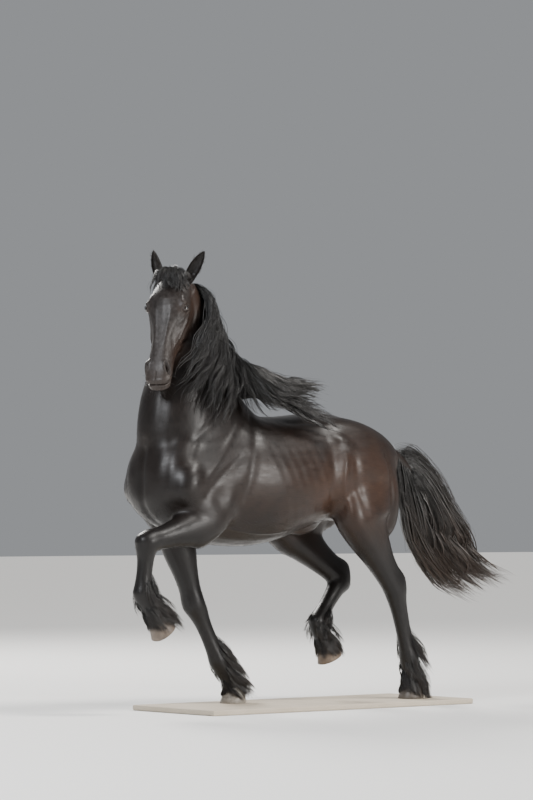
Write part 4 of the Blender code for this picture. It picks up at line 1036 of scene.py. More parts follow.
def unwrapped(points, region):
    """Place on the region's own unwrap, both 0 to 1: round the part, and along it."""
    if region == "head":
        local = in_head(points)
        turn = np.arctan2(local[:, 0], local[:, 2] - HEAD_MIDDLE) / (2 * math.pi) + 0.5
        return turn, (local[:, 1] - HEAD_START) / HEAD_LENGTH
    if region == "torso":
        turn = np.arctan2(points[:, 0], points[:, 2] - BASE_TOP - TORSO_MIDDLE) / (2 * math.pi) + 0.5
        return turn, (points[:, 1] - TORSO_START) / TORSO_LENGTH
    if region in ROUND_PARTS:
        axis, zero = ROUND_PARTS[region]
        return around(points, *points_of(axis), np.array(zero))
    bones = points_of(dict(legs())[region])
    best = np.full(len(points), 1e9)
    turn, along = np.zeros(len(points)), np.zeros(len(points))
    for i, (a, b) in enumerate(zip(bones, bones[1:])):
        angle, share = around(points, a, b, np.array(LEG_TURN_START))
        gap = distance_to_line(points, [a, b])
        near = gap < best
        best[near] = gap[near]
        turn[near] = angle[near]
        along[near] = (i + np.clip(share[near], 0, 1)) / (len(bones) - 1)
    return turn, along


def regions_of(points):
    """The index in REGIONS of the part that each point belongs to."""
    up = points[:, 2] - BASE_TOP
    forward = -points[:, 1]
    found = np.full(len(points), REGIONS.index("torso"))
    neck = (forward - NECK_CUT[0]) * NECK_CUT_WAY[0] + (up - NECK_CUT[1]) * NECK_CUT_WAY[1] > 0.0
    found[neck & (up > NECK_BOTTOM)] = REGIONS.index("neck")
    found[head_share(points) > 0.5] = REGIONS.index("head")
    found[forward < DOCK_CUT] = REGIONS.index("dock")
    gaps = np.array([distance_to_line(points, points_of(joints)) for _, joints in legs()])
    names = np.array([REGIONS.index(name) for name, _ in legs()])
    nearest = names[gaps.argmin(axis=0)]
    on_leg = (up < LEG_CUT) & (gaps.min(axis=0) < LEG_REACH)
    found[on_leg] = nearest[on_leg]
    return found


def atlas_places(points, regions):
    """The place on the atlas of each point, by its region."""
    placed = np.zeros((len(points), 2))
    for i, name in enumerate(REGIONS):
        mine = np.flatnonzero(regions == i)
        if len(mine):
            turn, along = unwrapped(points[mine], name)
            left, bottom, width, height = ATLAS[name]
            placed[mine, 0] = left + width * (ATLAS_MARGIN + ATLAS_TURN * turn)
            placed[mine, 1] = bottom + height * np.clip(along, ATLAS_END, 1 - ATLAS_END)
    return placed


def lay_atlas(mesh):
    """The OFBake map of a skin-like mesh, face by face, with each seam's far side laid past the edge."""
    points = positions(mesh)
    corners = np.empty(len(mesh.loops), np.int32)
    mesh.loops.foreach_get("vertex_index", corners)
    sizes = np.empty(len(mesh.polygons), np.int32)
    mesh.polygons.foreach_get("loop_total", sizes)
    face = np.repeat(np.arange(len(sizes)), sizes)
    starts = np.concatenate(([0], np.cumsum(sizes)[:-1]))
    middles = np.add.reduceat(points[corners], starts) / sizes[:, None]
    regions = regions_of(middles)
    placed = atlas_places(points[corners], regions[face])
    widths = np.array([ATLAS[name][2] for name in REGIONS])[regions[face]]
    highest = np.maximum.reduceat(placed[:, 0], starts)[face]
    wrapped = highest - placed[:, 0] > widths * ATLAS_SEAM
    placed[wrapped, 0] += ATLAS_TURN * widths[wrapped]
    layer = mesh.uv_layers.new(name="OFBake")
    layer.uv.foreach_set("vector", placed.astype(np.float32).ravel())


def set_tone(mesh, values):
    """A colour attribute that the shaders read: brown, pale and bare shares, which on the skin hold painted
    sheen in the brown and the pale share.
    """
    tone = mesh.attributes.new("tone", "FLOAT_COLOR", "POINT")
    flat = np.ones((len(values), 4), np.float32)
    flat[:, :3] = values
    tone.data.foreach_set("color", flat.ravel())


def mesh_from(name, points, corners, sizes):
    """A mesh from arrays: points, the corners of all faces in turn, and each face's corner count."""
    mesh = bpy.data.meshes.new(name)
    mesh.vertices.add(len(points))
    mesh.vertices.foreach_set("co", np.asarray(points, np.float32).ravel())
    mesh.loops.add(len(corners))
    mesh.loops.foreach_set("vertex_index", np.asarray(corners, np.int32))
    mesh.polygons.add(len(sizes))
    mesh.polygons.foreach_set("loop_start", np.concatenate(([0], np.cumsum(sizes)[:-1])).astype(np.int32))
    mesh.update(calc_edges=True)
    mesh.validate()
    return mesh


def unit(vectors):
    return vectors / np.maximum(np.linalg.norm(vectors, axis=-1, keepdims=True), 1e-9)


def strands_mesh(name, paths, radii, flat, outs, tones):
    """Closed strands of three sides along paths (strand, point, xyz), with radii by point.

    Flatness, way out and tone go by strand."""
    count, points, _ = paths.shape
    along = unit(np.gradient(paths, axis=1))
    across = np.empty_like(paths)
    across[:, 0] = unit(np.cross(along[:, 0], outs))
    for i in range(1, points):
        kept = across[:, i - 1] - along[:, i] * (across[:, i - 1] * along[:, i]).sum(axis=1, keepdims=True)
        across[:, i] = unit(kept)
    deep = np.cross(along, across)
    rings = []
    for side in range(STRAND_SIDES):
        turn = 2 * math.pi * side / STRAND_SIDES
        wide = radii[:, :-1, None] * math.cos(turn)
        thick = (radii[:, :-1] * flat[:, None])[..., None] * math.sin(turn)
        rings.append(paths[:, :-1] + across[:, :-1] * wide + deep[:, :-1] * thick)
    body = np.stack(rings, axis=2).reshape(count, -1, 3)
    vertices = np.concatenate((body, paths[:, -1:]), axis=1)
    faces = []
    for i in range(points - 2):
        for side in range(STRAND_SIDES):
            after = (side + 1) % STRAND_SIDES
            low, high = i * STRAND_SIDES, (i + 1) * STRAND_SIDES
            faces.append((low + side, low + after, high + side))
            faces.append((low + after, high + after, high + side))
    last = (points - 2) * STRAND_SIDES
    tip = (points - 1) * STRAND_SIDES
    for side in range(STRAND_SIDES):
        faces.append((last + side, last + (side + 1) % STRAND_SIDES, tip))
    faces.append((0, 2, 1))
    faces = np.array(faces)
    per_strand = vertices.shape[1]
    corners = (faces[None] + np.arange(count)[:, None, None] * per_strand).reshape(-1)
    mesh = mesh_from(name, vertices.reshape(-1, 3), corners, np.full(count * len(faces), 3))
    roots = paths[:, 0]
    placed = atlas_places(roots, regions_of(roots))
    height = np.concatenate((np.repeat(np.linspace(-1, 1, points)[:-1], STRAND_SIDES), [1.0]))
    sideways = np.concatenate((np.tile((-1.0, 0.0, 1.0), points - 1), [0.0]))
    patch = placed[:, None] + np.stack((sideways, height), axis=1)[None] * PATCH
    uv = patch.reshape(-1, 2)[corners]
    mesh.uv_layers.new(name="OFBake").uv.foreach_set("vector", uv.astype(np.float32).ravel())
    shade = np.repeat(tones[:, None], per_strand, axis=1)
    shade[..., 2] = (height + 1) / 2
    set_tone(mesh, shade.reshape(-1, 3))
    return mesh


def hair_pieces(name, paths, radii, flat, outs, tones, finish, slot):
    """Split the strands over pieces that stay under the limit, and settle each."""
    each = (paths.shape[1] - 2) * 2 * STRAND_SIDES + STRAND_SIDES + 1
    parts = math.ceil(len(paths) / (PIECE_TRIANGLES // each))
    for i, mine in enumerate(np.array_split(np.arange(len(paths)), parts)):
        label = name if parts == 1 else f"{name}_{i + 1}"
        mesh = strands_mesh(label, paths[mine], radii[mine], flat[mine], outs[mine], tones[mine])
        settled(object_of(label, mesh, finish), slot)


def sampled(rows, shares):
    """Rows of guide points at fractional places between the guides, smoothed across them."""
    guides = np.array(rows, float)
    dense = catmull(guides.reshape(len(guides), -1), 24)
    where = np.clip(shares, 0.0, 1.0) * (len(dense) - 1)
    low = np.floor(where).astype(int)
    high = np.minimum(low + 1, len(dense) - 1)
    mix = (where - low)[:, None]
    return (dense[low] * (1 - mix) + dense[high] * mix).reshape(len(shares), -1, 3)


def evenly(paths, points, lengths):
    """Each path smoothed and cut to its share of the length, with points spread evenly along it."""
    count, knots, _ = paths.shape
    fine = catmull(paths.transpose(1, 0, 2).reshape(knots, -1), 8).reshape(-1, count, 3).transpose(1, 0, 2)
    steps = np.linalg.norm(np.diff(fine, axis=1), axis=2)
    reach = np.concatenate((np.zeros((count, 1)), np.cumsum(steps, axis=1)), axis=1)
    made = np.empty((count, points, 3))
    shares = np.linspace(0, 1, points)
    for i in range(count):
        wanted = shares * reach[i, -1] * lengths[i]
        for k in range(3):
            made[i, :, k] = np.interp(wanted, reach[i], fine[i, :, k])
    return made


def evened(rows):
    """Rows of points with each inner one drawn halfway to its neighbours."""
    made = rows.copy()
    made[:, 1:-1] = rows[:, 1:-1] * 0.5 + (rows[:, :-2] + rows[:, 2:]) * 0.25
    return made


def outwards(paths, tree):
    """Directions away from the skin along each path."""
    outs = np.empty_like(paths)
    for i, path in enumerate(paths):
        for j, point in enumerate(path):
            near, normal, _, _ = tree.find_nearest(Vector(point))
            away = Vector(point) - near
            outs[i, j] = normal if away.dot(normal) < 0.004 else away.normalized()
    for _ in range(2):
        outs = evened(outs)
    return unit(outs)


def kept_clear(paths, tree, clearance, root_depth):
    """Move points out of the skin to their clearance, and root each strand in it."""
    for i, path in enumerate(paths):
        for j, point in enumerate(path):
            near, normal, _, _ = tree.find_nearest(Vector(point))
            if j == 0 and root_depth:
                path[j] = near - normal * root_depth
            else:
                lift = (Vector(point) - near).dot(normal)
                wanted = clearance[i] * min(j / 3, 1.0)
                if lift < wanted and (Vector(point) - near).length < CLEAR_REACH:
                    path[j] = Vector(point) + normal * (wanted - lift)
    return paths


def locked_strands(rows, rng, tree, strands, locks, points, width, depth, wave, wave_length, shortest, layer,
                   stray=0.0, root_spread=1.0, to_model=None):
    """Paths of strands gathered in wavy tapering locks that follow guides.

    Width and depth are a lock's half sizes, wave is how far it sways, and layer is how far apart
    locks lie."""
    shares = (np.arange(locks) + rng.uniform(0.1, 0.9, locks)) / locks
    centre = sampled(rows, shares)
    if to_model is not None:
        centre = moved(centre, to_model)
    lengths = rng.uniform(shortest, 1.0, locks)
    centre = evenly(centre, points, lengths)
    reach = np.linspace(0, 1, points)
    total = np.linalg.norm(np.diff(centre, axis=1), axis=2).sum(axis=1)
    out = outwards(centre, tree)
    along = unit(np.gradient(centre, axis=1))
    out = unit(out - along * (out * along).sum(axis=2, keepdims=True))
    side = np.cross(along, out)
    phase = rng.uniform(0, 2 * math.pi, locks)
    turns = total / (wave_length * rng.uniform(*LOCK_WAVE_LENGTHS, locks))
    swing = wave * rng.uniform(*LOCK_WAVE_HEIGHTS, locks)
    angle = 2 * math.pi * turns[:, None] * reach + phase[:, None]
    grow = np.minimum(reach * 3, 1.0) * (0.6 + 0.6 * reach)
    drift = rng.normal(0, 1, (locks, 1)) * width * LOCK_DRIFT * reach
    lift = rng.uniform(0, layer, locks)[:, None] * np.minimum(reach * 4, 1.0)
    centre = centre + side * (np.sin(angle) * swing[:, None] * grow + drift)[..., None]
    centre = centre + out * (np.cos(angle) * 0.55 * swing[:, None] * grow + lift)[..., None]
    owner = np.sort(rng.integers(0, locks, strands))
    spot = rng.normal(0, STRAND_SPREAD, (strands, 2))
    stretch = rng.uniform(*STRAND_LENGTHS, strands)
    loose = rng.uniform(0, 1, strands) < stray
    taper = (1.0 - reach) ** LOCK_TAPER * LOCK_BODY + LOCK_TIP
    taper = np.where(loose[:, None], 1.0 + LOOSE_SPREAD * reach, taper)
    curl = STRAND_CURL * rng.uniform(0.2, 1.0, strands)[:, None] * np.sin(
        rng.uniform(0, ANY_PHASE, strands)[:, None] + reach * rng.uniform(4, 10, strands)[:, None])
    offset_side = (spot[:, :1] + curl * 0.5) * width * taper
    offset_side += (spot[:, :1] * width * (root_spread - 1.0)) * np.maximum(1.0 - 3 * reach, 0.0)
    offset_out = (np.abs(spot[:, 1:]) + curl * 0.3) * depth * taper
    paths = centre[owner] + side[owner] * offset_side[..., None] + out[owner] * offset_out[..., None]
    paths = evenly(paths, points, stretch)
    clearance = 0.0015 + np.abs(spot[:, 1]) * depth * 0.8 + lift[owner, -1]
    paths = kept_clear(paths, tree, clearance, ROOT_DEPTH)
    for _ in range(STRAND_SMOOTHING):
        paths = evened(paths)
    return paths, out[owner, 1], owner


def profile_radii(strands, points, radius, rng):
    """Radii along each strand, full to the middle and fine at the tip."""
    reach = np.linspace(0, 1, points)
    shape = 0.85 + 0.25 * np.sin(reach * math.pi * 0.8) - 0.85 * np.maximum(reach - 0.45, 0) ** 1.4 / 0.45
    shape = np.maximum(shape, 0.18)
    return radius * rng.uniform(0.7, 1.25, strands)[:, None] * shape[None]


def hair_tones(strands, brown, rng, owner=None):
    """Brown share and brightness of each strand, alike within a lock; the brightness is the hair's own tone
    with painted glint.
    """
    own = rng.uniform(0, 1, strands)
    lock = own if owner is None else rng.uniform(0, 1, owner.max() + 1)[owner]
    return np.stack((np.full(strands, brown) * (0.5 + own), 0.5 * own + 0.5 * lock, own), axis=1)


def fine_hairs(name, paths, radius, out, brown, rng):
    """Single hairs that lie in no lock: lashes, whiskers and the hair in the ears."""
    count, points, _ = paths.shape
    radii = profile_radii(count, points, radius, rng)
    tones = hair_tones(count, brown, rng)
    hair_pieces(name, paths, radii, np.ones(count), np.tile(out, (count, 1)), tones, hair_material(), "hair")


def dressed(name, rows, strands, seed, radius, brown, **shape):
    """Strands in locks, as finished pieces, over an under layer of wider flat locks."""
    rng = np.random.default_rng(HAIR_SEED + seed)
    under = dict(shape)
    for key, share in UNDER_SHAPE.items():
        under[key] = shape[key] * share
    wide, half_width = shape["locks"] * UNDER_STRANDS, shape["width"] * UNDER_WIDTH
    layers = (
        (name, strands, radius, STRAND_FLATNESS, shape),
        (f"{name}_under", wide, half_width, UNDER_FLATNESS, under),
    )
    tree = skin_tree()
    for label, count, size, flatness, layer in layers:
        paths, outs, owner = locked_strands(rows, rng, tree, count, **layer)
        radii = profile_radii(count, shape["points"], size, rng)
        tones = hair_tones(count, brown, rng, owner)
        hair_pieces(label, paths, radii, np.full(count, flatness), outs, tones, hair_material(), "hair")


class Shader:
    """A small helper that adds nodes to a tree and links them by value."""

    def __init__(self, tree):
        self.tree = tree

    def add(self, kind, settings=None, **inputs):
        made = self.tree.nodes.new(kind)
        for key, value in (settings or {}).items():
            setattr(made, key, value)
        self.feed(made, **inputs)
        return made

    def feed(self, node, **inputs):
        """Link or set inputs of a node, by number as i0 or by name, with _ for a space."""
        for key, value in inputs.items():
            numbered = key[0] == "i" and key[1:].isdigit()
            socket = node.inputs[int(key[1:])] if numbered else node.inputs[key.replace("_", " ")]
            if isinstance(value, bpy.types.NodeSocket):
                self.tree.links.new(value, socket)
            else:
                socket.default_value = value

    def maths(self, operation, a, b=0.0, c=None):
        made = self.add("ShaderNodeMath", {"operation": operation}, i0=a, i1=b)
        if c is not None:
            self.feed(made, i2=c)
        return made.outputs[0]

    def tone(self):
        """The three shares of the tone attribute."""
        tone = self.add("ShaderNodeAttribute", {"attribute_name": "tone"})
        return self.add("ShaderNodeSeparateColor", Color=tone.outputs["Color"]).outputs

    def where(self):
        return self.add("ShaderNodeTexCoord").outputs["Object"]

    def mix(self, share, a, b):
        made = self.add("ShaderNodeMix", {"data_type": "RGBA"}, i0=share, i6=a, i7=b)
        return made.outputs[2]

    def noise(self, vector, scale, detail=2.0):
        return self.add("ShaderNodeTexNoise", Vector=vector, Scale=scale, Detail=detail).outputs[0]

    def scaled(self, vector, scale):
        return self.add("ShaderNodeMapping", Vector=vector, Scale=scale).outputs[0]

    def ramp(self, value, low, high, start=0.0, end=1.0):
        made = self.add("ShaderNodeMapRange", i0=value, i1=low, i2=high, i3=start, i4=end)
        return made.outputs[0]


def effect_group(name, outputs, colours):
    """An empty node group with its named outputs and with colours for inputs, ready for its nodes."""
    group = bpy.data.node_groups.new(name, "ShaderNodeTree")
    for label, colour in colours.items():
        socket = group.interface.new_socket(label, in_out="INPUT", socket_type="NodeSocketColor")
        socket.default_value = (*colour, 1.0)
    for label in outputs:
        kind = "NodeSocketColor" if label == "Color" else "NodeSocketFloat"
        group.interface.new_socket(label, in_out="OUTPUT", socket_type=kind)
    entry = group.nodes.new("NodeGroupInput")
    leave = group.nodes.new("NodeGroupOutput")
    return Shader(group), entry, leave


def coat_group():
    """Colour, roughness and fine height of the short coat, from the tone attribute and the hair's lie; the
    tone's brown and pale shares carry painted sheen.
    """
    found = bpy.data.node_groups.get("Short coat")
    if found:
        return found
    made, entry, leave = effect_group(
        "Short coat", ("Color", "Roughness", "Height"),
        {"Black": COAT_BLACK, "Brown": COAT_BROWN, "Dust and sheen": COAT_DUST_AND_SHEEN, "Bare": BARE_SKIN})
    brown, dust_and_sheen, bare = made.tone()
    where = made.where()
    lie = made.add("ShaderNodeUVMap", {"uv_map": "OFBake"}).outputs[0]
    hairs = made.noise(made.scaled(lie, COAT_HAIR_SCALE), 1.0, 3.0)
    swirls = made.noise(made.scaled(lie, COAT_SWIRL_SCALE), 1.0, 3.0)
    patches = made.noise(where, COAT_PATCH_SCALE, 4.0)
    brown = made.maths("MULTIPLY", brown, made.ramp(patches, 0.30, 0.70, 0.45, 1.25))
    colour = made.mix(brown, entry.outputs["Black"], entry.outputs["Brown"])
    speck = made.ramp(made.noise(where, PALE_SPECK_SCALE, 4.0), 0.35, 0.75, 0.2, 1.2)
    # The pale colour, which is dust on the legs and painted sheen with dust on the face.
    colour = made.mix(made.maths("MULTIPLY", dust_and_sheen, speck), colour, entry.outputs["Dust and sheen"])
    colour = made.mix(bare, colour, entry.outputs["Bare"])
    shade = made.ramp(hairs, 0.25, 0.75, 0.62, 1.45)
    tint = made.add("ShaderNodeCombineColor", Red=shade, Green=shade, Blue=shade).outputs[0]
    times = {"data_type": "RGBA", "blend_type": "MULTIPLY"}
    fleck = made.add("ShaderNodeMix", times, i0=COAT_FLECK, i6=colour, i7=tint)
    rough = made.ramp(swirls, 0.3, 0.7, *COAT_ROUGHNESS)
    rough = made.maths("MULTIPLY_ADD", dust_and_sheen, DUST_AND_SHEEN_ROUGHNESS, rough)
    sinews = made.noise(where, SINEW_SCALE, 4.0)
    furry = made.maths("MULTIPLY_ADD", hairs, 0.6, made.maths("MULTIPLY", swirls, 0.6))
    furry = made.maths("MULTIPLY_ADD", sinews, 3.0, furry)
    pores = made.noise(where, PORE_SCALE, 2.0)
    height = made.add("ShaderNodeMix", {"data_type": "FLOAT"}, i0=bare, i2=furry, i3=pores).outputs[0]
    made.feed(leave, Color=fleck.outputs[2], Roughness=rough, Height=height)
    return made.tree


def hair_group():
    """Colour of a strand from its tone: brightness by strand, the hair's own tone with painted glint on the
    paler strands, and brown that grows to the tip.
    """
    found = bpy.data.node_groups.get("Long hair")
    if found:
        return found
    made, entry, leave = effect_group(
        "Long hair", ("Color", "Roughness"), {"Dark": HAIR_DARK, "Light": HAIR_PALE_GLINT, "Tip": HAIR_TIP})
    brown, pale_glint_share, along = made.tone()
    colour = made.mix(pale_glint_share, entry.outputs["Dark"], entry.outputs["Light"])
    tip = made.maths("MULTIPLY", brown, made.maths("POWER", along, 1.6))
    colour = made.mix(tip, colour, entry.outputs["Tip"])
    made.feed(leave, Color=colour, Roughness=made.ramp(pale_glint_share, 0.0, 1.0, *HAIR_ROUGHNESS))
    return made.tree


def new_material(name, colour, roughness, dress=None, **extra):
    """The Principled material of this name, made once.

    Extra names its other sockets, and dress adds its nodes."""
    made = bpy.data.materials.get(name)
    if made:
        return made
    made = bpy.data.materials.new(name)
    made.use_nodes = True
    made.diffuse_color = (*colour, 1.0)
    shader = Shader(made.node_tree)
    surface = made.node_tree.nodes["Principled BSDF"]
    shader.feed(surface, Base_Color=(*colour, 1.0), Roughness=roughness, **extra)
    if dress:
        dress(shader, surface)
    return made


def dress_coat(shader, surface):
    """The short coat's group, and its fine height as a bump."""
    coat = shader.add("ShaderNodeGroup", {"node_tree": coat_group()}).outputs
    bump = shader.add("ShaderNodeBump", Strength=COAT_BUMP, Distance=COAT_BUMP_HEIGHT, Height=coat["Height"])
    shader.feed(surface, Base_Color=coat["Color"], Roughness=coat["Roughness"], Normal=bump.outputs[0])


def coat_material():
    return new_material("black coat", COAT_BLACK, 0.42, dress_coat, Specular_IOR_Level=0.25,
                        Coat_Weight=0.05, Coat_Roughness=0.30)


def dress_hair(shader, surface):
    hair = shader.add("ShaderNodeGroup", {"node_tree": hair_group()}).outputs
    shader.feed(surface, Base_Color=hair["Color"], Roughness=hair["Roughness"])


def hair_material():
    return new_material("black hair", HAIR_DARK, 0.40, dress_hair, Specular_IOR_Level=0.55)


def dress_eye(shader, surface):
    """A dark brown iris round a wide pupil."""
    look = shader.add("ShaderNodeAttribute", {"attribute_name": "look"}).outputs["Vector"]
    along, up, _ = shader.add("ShaderNodeSeparateXYZ", Vector=look).outputs
    parts = []
    for value, half_size, power in ((along, PUPIL_HALF_LENGTH, 2.4), (up, PUPIL_HALF_HEIGHT, 2.0)):
        share = shader.maths("ABSOLUTE", shader.maths("DIVIDE", value, half_size))
        parts.append(shader.maths("POWER", share, power))
    pupil = shader.ramp(shader.maths("ADD", *parts), 0.85, 1.15)
    radius = shader.add("ShaderNodeVectorMath", {"operation": "LENGTH"}, i0=look).outputs[1]
    rim = shader.ramp(radius, *IRIS_EDGE)
    fibres = shader.noise(look, IRIS_FIBRE_SCALE, 3.0)
    iris = shader.mix(shader.ramp(fibres, 0.35, 0.65), (*EYE_BROWN, 1.0), (*EYE_AMBER, 1.0))
    iris = shader.mix(pupil, (*PUPIL_BLACK, 1.0), iris)
    white = shader.mix(shader.ramp(radius, *WHITE_EDGE), (*EYE_RIM, 1.0), (*EYE_WHITE, 1.0))
    shader.feed(surface, Base_Color=shader.mix(rim, iris, white))


def eye_material():
    """The eye under its wet cornea."""
    return new_material("wet eye", EYE_BROWN, 0.20, dress_eye, Coat_Weight=1.0, Coat_Roughness=0.02)


def dress_horn(shader, surface):
    """Stains, streaks and growth rings down the wall."""
    share, down, dark = shader.tone()
    where = shader.where()
    stain = shader.noise(where, HORN_STAIN_SCALE, 4.0)
    streak = shader.noise(shader.scaled(where, (1.0, 1.0, HORN_STREAK_STRETCH)), HORN_STREAK_SCALE, 3.0)
    colour = shader.mix(share, (*HOOF_GREY, 1.0), (*HOOF_TAN, 1.0))
    colour = shader.mix(dark, colour, (*HOOF_DARK, 1.0))
    colour = shader.mix(shader.ramp(stain, 0.35, 0.70, 0.0, 0.55), colour, (*HOOF_DARK, 1.0))
    colour = shader.mix(shader.ramp(streak, 0.4, 0.7, 0.0, 0.35), colour, (*HOOF_DARK, 1.0))
    rings = shader.maths("SINE", shader.maths("MULTIPLY", down, HORN_RING_TURN))
    height = shader.maths("MULTIPLY_ADD", streak, 0.6, shader.maths("MULTIPLY", rings, 0.22))
    bump = shader.add("ShaderNodeBump", Strength=0.5, Distance=0.0012, Height=height)
    shader.feed(surface, Base_Color=colour, Normal=bump.outputs[0])


def hoof_material():
    return new_material("horn", HOOF_GREY, 0.52, dress_horn, Coat_Weight=0.12, Coat_Roughness=0.35)


def sand_material(sand):
    """The stand's matt sand finish."""
    def dress_sand(shader, surface):
        where = shader.where()
        blot = shader.ramp(shader.noise(where, SAND_BLOT_SCALE, 3.0), 0.35, 0.65, 0.0, 0.5)
        grain = shader.noise(where, SAND_GRAIN_SCALE, 2.0)
        bump = shader.add("ShaderNodeBump", Strength=0.4, Distance=0.001, Height=grain)
        colour = shader.mix(blot, (*sand, 1.0), (*STAND_SHADE, 1.0))
        shader.feed(surface, Base_Color=colour, Normal=bump.outputs[0])

    return new_material("sand finish", sand, 0.85, dress_sand)


def build_stage():
    """Floor, soft lights, pale surroundings and the camera of the photo."""
    bpy.ops.mesh.primitive_plane_add(size=FLOOR_SIZE, location=(0, 0, 0))
    floor = bpy.context.object
    floor.name = "floor"
    floor.data.materials.append(new_material("floor", FLOOR_PALE, 0.75))
    world = bpy.data.worlds.new("studio")
    world.use_nodes = True
    world.node_tree.nodes["Background"].inputs["Color"].default_value = (*STUDIO_PALE, 1.0)
    world.node_tree.nodes["Background"].inputs["Strength"].default_value = STUDIO_LIGHT
    bpy.context.scene.world = world
    centre = Vector(PHOTO_CENTRE)
    back = Vector(PHOTO_BACK)
    right = Vector((-back.y, back.x, 0.0))
    for name, aside, towards, up, size, power, colour in LIGHTS:
        lamp = bpy.data.lights.new(name, "SUN" if name == "key" else "AREA")
        if name == "key":
            lamp.angle = size
        else:
            lamp.shape = "DISK"
            lamp.size = size
        lamp.energy = power
        lamp.color = colour
        held = bpy.data.objects.new(name, lamp)
        held.location = centre + right * aside + back * towards + Vector((0, 0, up))
        aim = centre + Vector((0, 0, LIGHT_AIM)) - held.location
        held.rotation_euler = aim.to_track_quat("-Z", "Y").to_euler()
        bpy.context.scene.collection.objects.link(held)
    camera = bpy.data.objects.new("camera", bpy.data.cameras.new("camera"))
    camera.data.lens = CAMERA_LENS
    camera.data.sensor_width = 36.0
    camera.location = centre + back * CAMERA_DISTANCE + Vector((0, 0, CAMERA_HEIGHT))
    aim = centre + Vector(CAMERA_AIM) - camera.location
    camera.rotation_euler = aim.to_track_quat("-Z", "Y").to_euler()
    bpy.context.scene.collection.objects.link(camera)
    bpy.context.scene.camera = camera


def eye_axes(hand):
    """The eye's middle and axes: the way it looks, towards the muzzle, and up."""
    low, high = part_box("eye_left" if hand > 0 else "eye_right")
    turned = head_frame().to_3x3() @ Matrix.Rotation(-hand * math.radians(EYE_TURN_DEG), 3, "Y")
    turned = turned @ Matrix.Rotation(math.radians(EYE_SLANT_DEG), 3, "X")
    axes = np.array([tuple(turned @ mirrored(p, hand)) for p in ((1, 0, 0), (0, 1, 0), (0, 0, 1))])
    return np.array((low + high) / 2), axes


def hollow_for_eyes(points):
    """Sink the skin behind the lids, so that only they show round the ball."""
    long, high, depth = EYE_SOCKET
    for hand in (1, -1):
        centre, axes = eye_axes(hand)
        local = (points - centre) @ axes.T
        gap = np.sqrt((local[:, 1] / long) ** 2 + (local[:, 2] / high) ** 2)
        near = (gap < 1.0) & (local[:, 0] > 0.0) & (np.abs(local[:, 0]) < 0.05)
        points[near] -= axes[0] * (depth * (1 - gap[near] ** 2) ** 0.8)[:, None]


def above_jaw(points):
    """1 on the head down to its jaw, 0 on the neck behind and below it."""
    local = in_head(points)
    jaw = JAW_BACK + JAW_RISE * rise(local[:, 1], 0.20, 0.40)
    return head_share(points) * rise(local[:, 2], jaw, JAW_BLEND)


def skin_tones(points):
    """Brown, pale and bare shares of each point of the skin; the brown holds painted sheen on the flank, and
    the pale share holds painted sheen on the face besides dust.
    """
    up = points[:, 2] - BASE_TOP
    forward = -points[:, 1]
    brown = np.zeros(len(points))
    # Brown tone with painted sheen on the flank and behind the shoulder.
    for middle, length, height, high, strength in BROWN_AND_SHEEN_PATCHES:
        fade = np.exp(-(((forward - middle) / length) ** 2)) * np.exp(-(((up - height) / high) ** 2))
        brown += fade * strength
    local = in_head(points)
    head = above_jaw(points)
    cheek = rise(-local[:, 2], 0.015, 0.06)
    brown += rise(up, 0.85, 0.3) * TRUNK_BROWN
    brown += head * (FACE_BROWN + CHEEK_BROWN * cheek)
    # Pale share: painted sheen with dust on the face's front plane and down the nose, less on the cheeks, and
    # dust on the lower legs.
    dust_and_sheen = head * (FACE_DUST_AND_SHEEN + MUZZLE_DUST_AND_SHEEN * rise(local[:, 1], 0.15, 0.35) - CHEEK_LESS_DUST_AND_SHEEN * cheek)
    dust_and_sheen += rise(-up, -0.75, 0.5) * LEG_DUST
    bare = head * rise(local[:, 1], 0.515, 0.07) * MUZZLE_BARE
    for hand in (1, -1):
        centre, _ = eye_axes(hand)
        gap = np.linalg.norm(points - centre, axis=1)
        brown = np.maximum(brown, EYE_SIDE_BROWN * np.exp(-(gap / EYE_SIDE_REACH) ** 2))
        bare = np.maximum(bare, np.clip(1.4 - gap / EYE_BARE_REACH, 0, LID_BARE))
    return np.clip(np.stack((brown, dust_and_sheen, bare), axis=1), 0.0, 1.0)


def build_skin():
    skin = detailed_skin(coat_material())
    points = positions(skin.data)
    hollow_for_eyes(points)
    set_positions(skin.data, points)
    lay_atlas(skin.data)
    set_tone(skin.data, skin_tones(points))
    flesh = ["torso", "neck", "head", "tail"]
    flesh += [f"{name}_{part}" for name, _ in legs() for part in ("upper", "cannon")]
    settled(skin, "coat", *flesh)


def skin_tree():
    return BVHTree.FromObject(bpy.data.objects["skin"], bpy.context.evaluated_depsgraph_get())


def ball_rings(hand):
    """Rings of the eye from its front, where the cornea stands a little proud."""
    centre, axes = eye_axes(hand)
    rings, looks = [], []
    for tilt in np.radians(np.linspace(*BALL_TILTS_DEG, BALL_RINGS)):
        reach = EYE_RADIUS - BALL_INSET + CORNEA_BULGE * math.exp(-(tilt / CORNEA_SPREAD) ** 4)
        ring, look = [], []
        for turn in np.linspace(0, 2 * math.pi, BALL_SIDES, endpoint=False):
            wide = math.sin(tilt)
            local = np.array((math.cos(tilt), wide * math.cos(turn), wide * math.sin(turn)))
            ring.append(centre + (local * reach) @ axes)
            look.append((local[1] * EYE_RADIUS, local[2] * EYE_RADIUS, 0.0))
        rings.append(ring)
        looks.append(look)
    return rings, looks


def mesh_of_rings(name, rings, capped=True):
    """A mesh over rings of points, facing outwards."""
    bm = bmesh.new()
    skin_rings(bm, [[Vector(p) for p in ring] for ring in rings], capped)
    return outward_mesh(bm, name)


